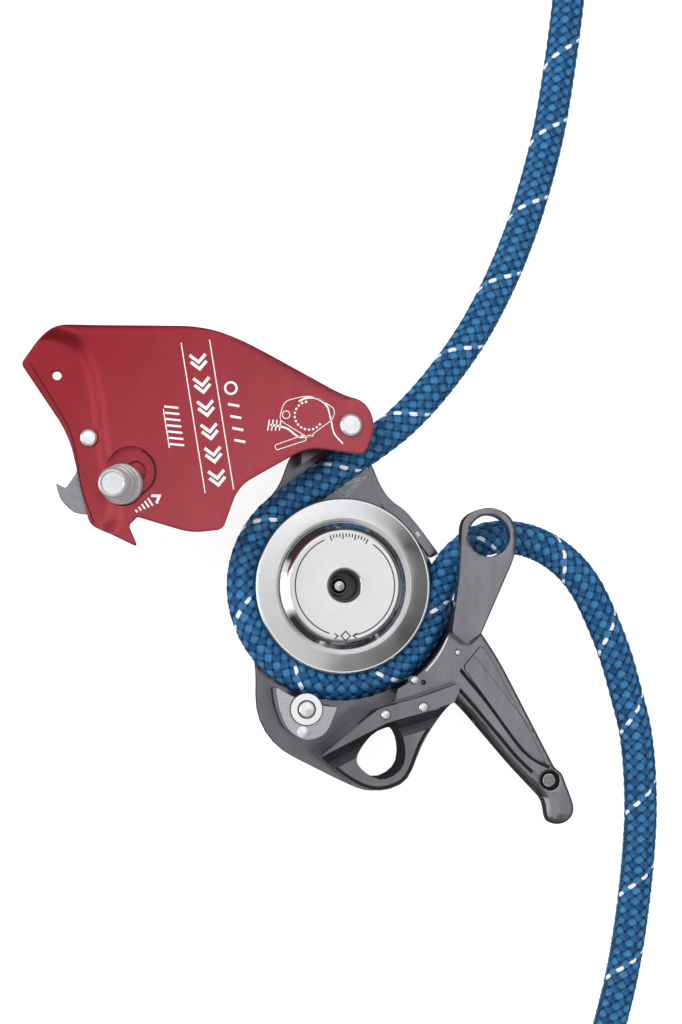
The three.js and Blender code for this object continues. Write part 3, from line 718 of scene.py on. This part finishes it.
def make_rope():
    rope = Rope(coil_route()[:-1] + COIL_EXIT + LOAD_ROUTE + wrap_route()[1:] + HAND_ROUTE)
    coil_end = rope.nearest(LOAD_ROUTE[0])
    seam = rope.nearest(on_wrap(SEAM_DEGREES), coil_end)
    last = len(rope.points) - 1
    coil = braided("rope_coil_braid", rope, 0, coil_end, 64, 2)
    load = braided("rope_load_braid", rope, coil_end, seam, 96, 1)
    hand = braided("rope_hand_braid", rope, seam, last, 96, 1)
    for piece, node in ((coil, "rope_coil"), (load, "rope_load_strand"), (hand, "rope_hand_strand")):
        dress(piece, "rope", "frame", [node], sharp=180)
    start = rope.points[last] + np.array([0.1, 0.3, 0])
    hand_sleeve = end_sleeve("rope_hand_end", start, ROPE_END, ["rope_end_sleeve"])
    ahead = rope.points[0] - rope.points[3]
    ahead /= np.linalg.norm(ahead)
    overlap = 0.4
    tip = rope.points[0] + ahead * SLEEVE_LENGTH
    load_sleeve = end_sleeve("rope_load_end", rope.points[0] - ahead * overlap, tip)

    def path(first, final):
        """Every eighth place of the centreline, in metres."""
        return [tuple(float(c) * MM for c in place) for place in rope.points[first:final + 1:8]]


make_rope()

# ---------- sheave ----------


def make_sheave():
    profile = outline([
        (24.3, 22.6), (30.9, 22.6, 0.4), (30.9, 34.6, 0.8), (34, 35.6, 0.6), (34, 37.4, 0.45),
        (33.3, 37.8, 0.3), (25.9, 38.7, 0.35), (25.7, 37.9, 0.2), (25.4, 37.7, 0.3), (22.3, 41.15, 0.9),
        (21.2, 42, 0.7), (6.6, 42, 0.5), (6, 41.3, 0.3), (6, 40.2), (9.3, 40), (9.3, 34.4), (24.3, 34.4),
    ], 6)
    body = turned("sheave_turned", profile, 192)
    dress(body, "turned", "sheave", ["sheave_body"], sharp=28)


make_sheave()

# ---------- side plate ----------

PIVOT = (1.2, 60.5)
PLATE_PLAN = [
    (-122.2, 84.2, 1.5), (-115, 94.6, 4), (-108, 98.6, 4), (-93, 98.4), (-54, 98.2, 9), (-38, 92.4, 9),
    (-2, 72.6, 5), (7.4, 69.6, 5), (11, 60.4, 5), (6.6, 49.4, 3), (-15, 52.4, 6), (-41.6, 37.6, 6),
    (-47.6, 21.4, 2.5), (-59.4, 20.2, 5), (-79.4, 26.3, 0.5), (-82.8, 23, 1.5), (-79.4, 15, 2),
    (-97.2, 23.8, 3), (-104.6, 57.4, 8),
]
CRANK = [
    (-121, 95), (-112, 95.6), (-106.4, 94.2), (-101, 90.6), (-97.2, 84), (-94.6, 73.6), (-92, 52),
    (-87.6, 29), (-91.4, 20), (-97, 10),
]
TOP_EDGE = [(-108, 98.6), (-93, 98.4), (-56, 98.3), (-46, 96.6), (-37, 91.8), (-4, 73.6), (2, 71.2)]
LOW_BOTTOM, HIGH_BOTTOM, SHEET = 46.0, 51.0, 3.0
PLATE_FRONT = HIGH_BOTTOM + SHEET
KNOB = (-84.7, 38.5)
KNOB_RELEASED = (-80.0, 43.2)
RECESS = (-81.8, 43.2)
RECESS_R, RECESS_DEPTH = 9.5, 2
LATCH_PIVOT = (-97.4, 56.2)
CORNER_HOLE = (-108.9, 79.7)


def signed_distance(points, line):
    """Distance of points from an open line in plan, positive on its left."""
    points = np.asarray(points, float)
    best = np.full(len(points), 1e9)
    side = np.ones(len(points))
    for a, b in zip(line, line[1:]):
        step = b - a
        share = np.clip((points - a) @ step / step.dot(step), 0, 1)
        gap = points - (a + share[:, None] * step)
        distance = np.hypot(*gap.T)
        closer = distance < best - 1e-9
        best[closer] = distance[closer]
        turn = step[0] * (points[:, 1] - a[1]) - step[1] * (points[:, 0] - a[0])
        side[closer] = np.sign(turn[closer])
    return best * side


def smooth_line(points):
    curve = catmull_rom([(*point, 0) for point in points], 10)
    return curve[:, :2]


def plate_drop(places):
    """How far the sheet lies below its front level at each place: the crank, and the rolled top edge."""
    crank_width, roll_reach, roll_depth = 6.4, 4.6, 1.9
    beyond = crank_width / 2 - signed_distance(places, smooth_line(CRANK))
    beyond = np.clip(beyond / crank_width, 0, 1)
    crank = (HIGH_BOTTOM - LOW_BOTTOM) * beyond ** 2 * (3 - 2 * beyond)
    near = np.clip(1 - np.abs(signed_distance(places, smooth_line(TOP_EDGE))) / roll_reach, 0, 1)
    roll = roll_depth * (1 - np.sqrt(np.maximum(1 - near ** 2, 0)))
    return crank + roll


def make_side_plate():
    holes = [circle(PIVOT, 3.75), circle(CORNER_HOLE, 1.7, 24), circle(LATCH_PIVOT, 2.7),
             stadium(KNOB, KNOB_RELEASED, 4.1)]
    plan = outline(PLATE_PLAN, 12)
    plate = flat_solid("side_plate_sheet", plan, HIGH_BOTTOM, PLATE_FRONT, 0.5, holes, 3)
    work = opened(plate.data)
    fine, coarse = 1.6, 4
    cut_across(work, 0, np.arange(-122, -78, fine))
    cut_across(work, 0, np.arange(-77, 12, coarse))
    cut_across(work, 1, np.arange(14, 100, fine))
    for vert, drop in zip(work.verts, plate_drop(plan_places(work))):
        vert.co.z -= drop * MM
    bmesh.ops.recalc_face_normals(work, faces=work.faces)
    close_into(work, plate.data)
    path = stadium(KNOB, KNOB_RELEASED, 8.2, 39)
    cutters = []
    for name, plan in (("knob_path", path), ("recess", circle(RECESS, RECESS_R, 96))):
        cutters.append(flat_solid(name, plan, PLATE_FRONT - RECESS_DEPTH, PLATE_FRONT + 6, 0.2))
        cut = plate.modifiers.new(name, "BOOLEAN")
        cut.object = cutters[-1]
        cut.solver = "EXACT"
    shaped = as_evaluated(plate)
    plate.modifiers.clear()
    plate.data = shaped
    for cutter in cutters:
        bpy.data.objects.remove(cutter)
    dress(plate, "red", "side_plate", ["side_plate"], sharp=38)


make_side_plate()

# ---------- latch knob ----------


def make_knob():
    """A stem, a flange and three grooved steps that lean to the left, and a shield in the plate's slot."""
    flange, top, lean = 52.3, 61.5, 4.4
    corners = [
        (0, 42.4), (1.6, 42.4), (1.6, 45.9), (3.4, 45.9), (3.4, flange), (7.4, flange, 0.4), (7.8, 53.2, 0.5),
        (7.6, 54.4, 0.5),
    ]
    for step in range(3):
        radius = 7.2 - 0.62 * step
        base = 54.5 + 2.05 * step
        corners += [(radius - 0.7, base, 0.2), (radius - 0.7, base + 0.4, 0.2), (radius, base + 0.8, 0.4),
                    (radius - 0.15, base + 1.75, 0.5)]
    corners += [(5.2, 61.2, 0.6), (4.4, top, 0.3), (4.1, 61.1, 0.3), (0, 61.0)]
    knob = turned("latch_knob_grip", outline(corners, 5), 96, KNOB)
    for vert in knob.data.vertices:
        share = max(vert.co.z / MM - flange, 0) / (top - flange)
        vert.co.x -= lean * share * MM
    dress(knob, "knob", "latch", ["latch_knob"])
    plan = np.vstack([arc(KNOB_RELEASED, 4.2, -45, 135, 24), arc(KNOB, 3.5, 100, -10, 16)])
    shield = flat_solid("latch_slot_shield", plan, 50.0, 50.6, 0.05)
    dress(shield, "red", "latch")


make_knob()

# ---------- becket plate and handle ----------


def make_becket():
    plan = outline([
        (40.6, -18.6, 1.5), (47.4, -24, 2), (51.6, -20.4, 2), (66.4, 11.6, 5), (66.4, 25.4, 6),
        (56.4, 30.6, 6), (45.4, 26, 5), (44.2, 4, 10),
    ], 12)
    plate = flat_solid("becket_arm", plan, 38.9, 45.6, 0.6, [circle((56, 18.6), 8, 96)], 1)
    dress(plate, "black", "frame", ["becket_plate"], sharp=24, crisp=True)


make_becket()


HANDLE_SCREW = (86.6, -78.4)
LEVER_TOP, INLAY_TOP = 10.3, 11.5


def roll_down(piece, line, reach, depth):
    """Rolls the top of a flat piece down toward a line in plan, within its reach and by the depth."""
    work = opened(piece.data)
    pitch = 1.4
    low = np.array(line).min(axis=0) - reach
    high = np.array(line).max(axis=0) + reach
    for axis in (0, 1):
        cut_across(work, axis, np.arange(low[axis], high[axis], pitch))
    levels = [vert.co.z for vert in work.verts]
    middle = (min(levels) + max(levels)) / 2
    near = np.clip(1 - np.abs(signed_distance(plan_places(work), smooth_line(line))) / reach, 0, 1)
    for vert, share in zip(work.verts, near):
        if vert.co.z > middle:
            vert.co.z -= depth * (1 - math.sqrt(1 - share * share)) * MM
    close_into(work, piece.data)


def make_lever():
    plan = outline([
        (4, 16.6, 6), (17, 12, 8), (49, -5, 10), (60, -19.4, 6), (67, -30.5, 8), (88.8, -73.6, 2),
        (91.6, -75.4, 2), (97.2, -91, 5), (92, -96.6, 5), (85.4, -95.4, 3), (84, -86.2, 3),
        (70.6, -71.8, 6), (49.6, -46.6, 8), (10, -16, 8), (-17, -14, 8), (-17, 12, 8),
    ], 10)
    axle_hole = circle((0, 0), 9.3, 64)
    lever = flat_solid("handle_lever", plan, 3.3, LEVER_TOP, 0.9, [axle_hole, circle(HANDLE_SCREW, 3.7)], 3)
    lower_edge = [
        (10, -16), (30, -31), (49.6, -46.6), (61, -60.3), (70.6, -71.8), (78, -79.4), (83.4, -85),
        (84.6, -91), (86.6, -95.6), (92, -96.6),
    ]
    roll_down(lever, lower_edge, 4.6, 3.6)
    hub = flat_solid("handle_hub", circle((0, 0), 16.4, 96), 10.2, 14.2, 0.3, [axle_hole])
    dress(lever, "black", "handle", ["handle_arm"], sharp=28, crisp=True)
    dress(hub, "black", "handle", sharp=28, crisp=True)


def make_inlay():
    plan = outline([
        (51.6, -32.4, 2), (59.4, -23.4, 2), (64.8, -32, 6), (85.4, -72, 2), (80.4, -70.2, 4),
        (74.6, -64.6, 6),
    ], 10)
    inlay = flat_solid("handle_inlay", plan, 9.4, INLAY_TOP, 0.3, bevel_steps=1)
    dress(inlay, "black", "handle", ["handle_panel"], sharp=28, crisp=True)


def handle_shades():
    """Painted shade as dark lines along the lever's lower flank and in the groove beside the inlay, and a
    thin dark line on the inlay.
    """
    flank = [(47, -38.2), (52.1, -43.6), (64, -57.8), (73.5, -69.2), (79.4, -75)]
    groove = [(50.2, -33), (61.6, -47), (71.4, -60.6), (75.6, -66), (80.4, -70), (86.4, -73.2)]
    scribed = [(56, -27.6), (67.2, -42), (80.2, -59.4)]
    for name, line, width, level in (
        ("handle_flank_shade", flank, 1.4, LEVER_TOP + 0.03),
        ("handle_groove_shade", groove, 1.5, LEVER_TOP + 0.04),
        ("handle_line", scribed, 0.14, INLAY_TOP + 0.04),
    ):
        marks(name, [(smooth_line(line), width)], level, "painted_shade", "handle")


def make_screw_seat():
    profile = [(2.5, 8.5), (3.65, 8.5), (3.65, 10.2), (3.4, 10.2), (3.2, 9.2), (2.6, 8.9)]
    seat = turned("handle_screw_seat", profile, 64, HANDLE_SCREW)
    # The seat's near-black finish is painted shade in the recess round the screw.
    dress(seat, "painted_shade", "handle")


make_lever()
make_inlay()
handle_shades()
make_screw_seat()

# ---------- marks on the side plate ----------


def chevrons():
    """Two rules with six double chevrons between them, which point along the plate."""
    left, right = ((-62.7, 91.6), (-54.2, 35.1)), ((-52, 92.8), (-43.5, 36.4))
    lines = [(left, 0.4), (right, 0.4)]
    for i in range(6):
        for start in (0.09, 0.135):
            share = start + i * 0.155
            tip = (between(*left, share + 0.05) + between(*right, share + 0.05)) / 2
            lines.append(([between(*left, share, 2.4), tip, between(*right, share, -2.4)], 1.15))
    return lines


def ticks(start, end, count, first, pitch, slope, half, width):
    """Slanting ticks down a column; first, pitch and slope are shares of its length."""
    shares = [first + i * pitch for i in range(count)]
    return [([between(start, end, share, -half), between(start, end, share + slope, half)], width)
            for share in shares]


def plate_print():
    column = ((-44.6, 77.4), (-40.8, 53.6))
    lines = chevrons()
    lines.append((arc(between(*column, 0.12), 2.2, 0, 345, 20), 0.8, True))
    lines += ticks(*column, 4, 0.36, 0.19, 0.06, 2.0, 0.9)
    lines += ticks((-66.8, 68.6), (-64.4, 52.4), 7, 0.04, 0.145, 0.08, 2.6, 0.75)
    lines.append(([(-69.6, 66.6), (-67.4, 52)], 0.4))
    lines += pictogram() + dotted_arrow()
    marks("side_plate_print", lines, PLATE_FRONT + 0.04, "white_print", "side_plate")


def recess_shade():
    """Painted shade on the wall of the knob's recess."""
    line = arc(RECESS, RECESS_R - 0.35, -72, 62, 40)
    level = PLATE_FRONT - RECESS_DEPTH + 0.04
    marks("side_plate_recess_shade", [(line, 0.75)], level, "shaded_red", "side_plate")


def plate_crease_shade():
    """Painted shade of the fold along the plate's low left edge: a dark line just inside the edge."""
    corners = [(-119.2, 84.6), (-112.4, 73.4), (-104.8, 60.2), (-102.2, 51), (-100.2, 38), (-95.6, 24.4)]
    level = LOW_BOTTOM + SHEET + 0.04
    marks("side_plate_crease_shade", [(smooth_line(corners), 0.5)], level, "shaded_red", "side_plate")


def pictogram():
    """How the rope lies: in over the sheave, round it, and out past the handle."""
    wheel, eye, over = (-14.4, 63.2), (-24.4, 63.6), (-13.4, 62.6)
    case = [(-27.6, 61.4, 2.5), (-25.2, 69.6, 3), (-13, 72.6, 5), (-2.6, 66.2, 2.5), (-3.6, 61.6, 2.5),
            (-11, 56.4, 2), (-14.6, 53.4, 2)]
    lever = [(-17, 54.6, 0.8), (-29.6, 50.2, 1), (-29, 48, 1), (-15.4, 52.4, 0.8)]
    rope_out = [(-5.8, 66.6), (-4.4, 60.6), (-3.2, 55.4), (0.6, 50.8)]
    rope_in = [(-12.4, 54.6), (-18.6, 53.8), (-24.2, 57.6), (-31.4, 59.2)]
    lines = [(outline(case, 5), 0.28, True), (outline(lever, 4), 0.28, True)]
    lines += [(arc(wheel, 6.2, 96 + i * 17, 105 + i * 17, 3), 0.75) for i in range(14)]
    lines += [(arc(eye, 1.7, 0, 345, 14), 0.3, True), (arc(over, 8.6, 28, 128, 12), 0.7)]
    lines += [(smooth_line(rope_out), 0.55), (smooth_line(rope_in), 0.7)]
    lines += [(([-32.6 + i * 1.7, 56.6], [-31.8 + i * 1.7, 61.4]), 0.45) for i in range(4)]
    shrink, centre, moved = 0.86, np.array([-14, 61.5]), np.array([-0.4, 1.2])
    return [((np.array(points) - centre) * shrink + centre + moved, *width) for points, *width in lines]


def dotted_arrow():
    """A row of dots that grow toward an arrow tip."""
    start, end = (-79.9, 28.4), (-71.3, 34)
    lines = []
    for i in range(5):
        share, half = i * 0.15, 0.55 + i * 0.28
        lines.append(([between(start, end, share, -half), between(start, end, share, half)], 0.65))
    tip = [between(start, end, *place) for place in ((0.76, 1.7), (1.0,), (0.76, -1.7))]
    return lines + [(tip, 1.0)]


recess_shade()
plate_crease_shade()
plate_print()

# ---------- details of the frame and the sheave ----------

CAM_PIN = (-14.9, -47.1)
CAM_KEY = (-16.4, -55.7)
BACK_PLATE_FACE, CAM_FACE, WASHER_FACE = 19.5, 37.6, 38.2
LOBE_FACE, WALL_FACE = 36.0, 38.6
RIM_FACE, BOSS_FACE = 37.8, 42.0


def frame_marks(name, lines, level, finish):
    marks(name, lines, level, finish, "frame")


def back_plate_print():
    outer = [(-2.4, 39.2), (3.4, 34.6), (12.2, 43.4), (4.2, 41.6)]
    inner = [(0.6, 39.0), (3.6, 36.4), (9.6, 42.2), (4.4, 40.6)]
    lines = [(outer, 0.4, True), (inner, 0.5, True), ([(32, 21.4), (33.2, 19.6)], 1.2)]
    frame_marks("back_plate_print", lines, BACK_PLATE_FACE + 0.04, "white_print")


def make_shoulder():
    """A thin plate that squares off the back plate's right-hand shoulder."""
    plan = outline([
        (13.5, 49.2, 1), (15, 47.2, 2), (17.8, 39.7, 4), (21.7, 34.1, 4), (27.6, 30.1, 3), (33.5, 23, 4),
        (37.5, 17.4, 3), (41, 12.6, 1), (37.4, 11, 1), (29, 22, 6), (17, 32.6, 4), (12, 44, 1),
    ])
    plate = flat_solid("back_plate_shoulder", plan, 16.5, 19.47, 0.4, bevel_steps=1)
    dress(plate, "black", "frame", sharp=24, crisp=True)


def cam_details():
    """The bright key in the cam's face, and painted shade as dark rings inside the cam's washer and under its
    rim.
    """
    key = flat_solid("cam_key_face", circle(CAM_KEY, 2.25, 32), CAM_FACE + 0.02, CAM_FACE + 0.25, 0.08)
    dress(key, "bright", "brake_cam")
    inside, below = WASHER_FACE + 0.02, WASHER_FACE - 1.2
    frame_marks("cam_washer_gap_shade", [(arc(CAM_PIN, 3.35, 0, 352, 48), 0.5, True)], inside, "painted_shade")
    frame_marks("cam_washer_shade", [(arc(CAM_PIN, 6.24, 0, 354, 64), 0.28, True)], below, "painted_shade")


def block_marks():
    """Painted shade on the lobe's chamfer, and a painted glint on the rope wall's edge by the becket arm."""
    chamfer = [
        (-8.4, -65.4), (-1.8, -71.1), (2.1, -73.9), (7.4, -76.7), (11.8, -77.8), (16.9, -77.3), (22.2, -74.9),
        (25.2, -70.7), (27.2, -65.8), (29.7, -60.2), (35, -52),
    ]
    glint = [(40.2, -20.4), (38.2, -24.6), (35, -29.4), (31.6, -33.2)]
    frame_marks("block_chamfer_shade", [(smooth_line(chamfer), 1.3)], LOBE_FACE + 0.03, "painted_shade")
    frame_marks("block_glint", [(smooth_line(glint), 0.5)], WALL_FACE + 0.03, "bright")


def sheave_print_and_glint():
    """A scale of 13 ticks at the top of two arcs, and a diamond between two brackets at the bottom, and a
    painted highlight round the rim.
    """
    radius, width = 19.2, 0.5
    lines = [(arc((0, 0), radius, 114, 251, 60), width), (arc((0, 0), radius, 279, 415, 60), width)]
    for i in range(13):
        turn = math.radians(106 - i * 3.6)
        ray = np.array([math.cos(turn), math.sin(turn)])
        inner = 17.9 if i % 4 == 0 else 18.7
        lines.append(([ray * inner, ray * 20.1], width))
    lines.append(([(0, -17.4), (1.8, -19.2), (0, -21), (-1.8, -19.2)], width, True))
    for side in (-1, 1):
        lines.append(([(side * 4.4, -18.2), (side * 2.9, -19.2), (side * 4.2, -20.2)], width))
    # Painted highlight: a bright ring round the rim's top edge.
    rim = [(arc((0, 0), 33.1, 0, 357, 120), 0.35, True)]
    marks("sheave_rim_glint", rim, RIM_FACE + 0.07, "bright", "sheave")
    marks("sheave_engraving", lines, BOSS_FACE + 0.02, "dark_print", "sheave")


back_plate_print()
make_shoulder()
cam_details()
block_marks()
sheave_print_and_glint()

# ---------- CAD nodes that show as they are ----------

# by finish and width of edge in mm
KEPT = {
    ("black", 0.3): ["rope_guide_lug"],
    ("black", 0.6): ["back_plate"],
    ("black", 0.8): ["frame_block"],
    ("bright", 0): ["becket_dowel", "ledge_pin_left", "ledge_pin_right", "guide_pin"],
    ("bright", 0.12): ["pivot_rivet", "latch_rivet", "cam_pin"],
    ("bright", 0.15): ["cam_washer"],
    ("silver", 0): [*(f"rear_screw_{i}" for i in range(1, 5)), "pivot_post", "axle_key_pin"],
    ("steel", 0): ["cam_spring", "latch_spring", "handle_spring"],
    ("steel", 0.15): ["handle_screw"],
    ("steel", 0.2): ["rear_cap", "sheave_rear_flange"],
    ("dark_steel", 0.1): ["set_screw", "retaining_ring", "pawl_carrier", "pawl_right", "pawl_left"],
    ("dark_steel", 0.2): ["sheave_axle"],
    ("bronze", 0.1): ["axle_bush", "handle_bush"],
    ("cast", 0): ["ratchet_ring"],
    ("cast", 0.3): ["brake_cam"],
    ("cast_dark", 0.5): ["latch_lever"],
}


def finish_node(name, finish, edge):
    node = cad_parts[name]
    node.data.materials.clear()
    node.data.materials.append(FINISH[finish])
    weld = node.modifiers.new("weld", "WELD")
    weld.merge_threshold = WELD
    flat = node.modifiers.new("flat faces", "DECIMATE")
    flat.decimate_type = "DISSOLVE"
    flat.angle_limit = math.radians(0.6)
    if edge:
        bevel = node.modifiers.new("edges", "BEVEL")
        bevel.width = edge * MM
        bevel.segments = 1 if edge > 0.5 else 2
        bevel.limit_method = "ANGLE"
        bevel.angle_limit = math.radians(38)
    shading = node.modifiers.new("shading", "WEIGHTED_NORMAL")
    shading.keep_sharp = True


for (node_finish, node_edge), node_names in KEPT.items():
    for node_name in node_names:
        finish_node(node_name, node_finish, node_edge)

# ---------- floor and light ----------


def make_floor():
    work = bmesh.new()
    bmesh.ops.create_grid(work, x_segments=8, y_segments=8, size=30)
    floor = put_work("floor", work)
    floor.location.z = -0.15 * MM
    make = Finish("pale_floor")
    paper = make.noise(35, 2)
    dark, light = srgb(150, 150, 151), srgb(154, 154, 155)
    make.socket("Base Color", make.ramp(paper, (0.3, dark), (0.7, light)))
    make.socket("Roughness", 0.85)
    make.socket("Specular IOR Level", 0.0)
    make.socket("Emission Color", grey(1.0))
    make.socket("Emission Strength", 0.86)
    floor.data.materials.append(make.material)
    floor.visible_glossy = False


def area_light(name, place, size, power):
    """A round light that faces the origin."""
    light = put(name, bpy.data.lights.new(name, "AREA"))
    light.data.shape = "DISK"
    light.data.size = size
    light.data.energy = power
    light.location = place
    light.rotation_mode = "QUATERNION"
    light.rotation_quaternion = (-Vector(place)).to_track_quat("-Z", "Y")
    light.visible_glossy = False


def studio_colour(make):
    """What gloss mirrors, laid out round the direction that the sheave's face mirrors into the camera.

    It is white there and toward the left, dark toward the right and nearly black low down, with one bright
    strip at the left.
    """
    x, y, z = make.split(make.where)
    height = make.math("MAXIMUM", z, 0.02)
    across = make.math("SUBTRACT", make.math("DIVIDE", x, height), 0.15)
    along = make.math("SUBTRACT", make.math("DIVIDE", y, height), 0.052)
    away = make.length(across, along)
    turn = make.math("MULTIPLY_ADD", make.math("ARCTAN2", along, across), 0.5 / math.pi, 0.5)
    levels = (
        (0.0, 0.74), (0.1, 0.64), (0.212, 0.56), (0.224, 0.29), (0.3, 0.2), (0.375, 0.08), (0.486, 0.16),
        (0.53, 0.13), (0.569, 0.06), (0.615, 0.3), (0.66, 0.62), (0.75, 0.9), (0.85, 1.0), (1.0, 0.74),
    )
    round_about = make.ramp(turn, *((place, grey(level)) for place, level in levels))
    cap = make.mix(make.spread(across, -0.17, 0.02), grey(0.66), grey(0.88))
    ring = make.mix(make.spread(away, 0.15, 0.215), cap, round_about)
    low = make.mix(make.spread(z, 0.03, 0.25), grey(0.03), grey(0.13))
    studio = make.mix(make.spread(away, 0.75, 1.5), ring, low)
    bearing = make.math("FLOORED_MODULO", make.math("ARCTAN2", y, x), 2 * math.pi)
    aside = make.math("ABSOLUTE", make.math("SUBTRACT", bearing, math.pi))
    above = make.math("ABSOLUTE", make.math("SUBTRACT", z, 0.36))
    in_turn, in_height = make.spread(aside, 0.35, 0.6, 1.0, 0.0), make.spread(above, 0.36, 0.46, 1.0, 0.0)
    return make.mix(make.math("MULTIPLY", in_turn, in_height), studio, grey(1.25))


def make_light():
    """An even white room for matt surfaces, the studio for gloss, and plain white behind everything."""
    area_light("key", (-0.75, 0.55, 1.1), 0.9, 14)
    area_light("fill", (0.95, -0.5, 0.9), 0.8, 5)
    world = bpy.data.worlds.new("studio")
    world.use_nodes = True
    make = Graph(world.node_tree, "Generated")
    rays = world.node_tree.nodes.new("ShaderNodeLightPath").outputs
    gloss = make.mix(rays["Is Glossy Ray"], grey(0.72), studio_colour(make))
    room = make.mix(rays["Is Camera Ray"], gloss, grey(1.0))
    make.feed(world.node_tree.nodes["Background"].inputs["Color"], room)
    bpy.context.scene.world = world
    bpy.context.scene.view_settings.view_transform = "Standard"


make_floor()
make_light()
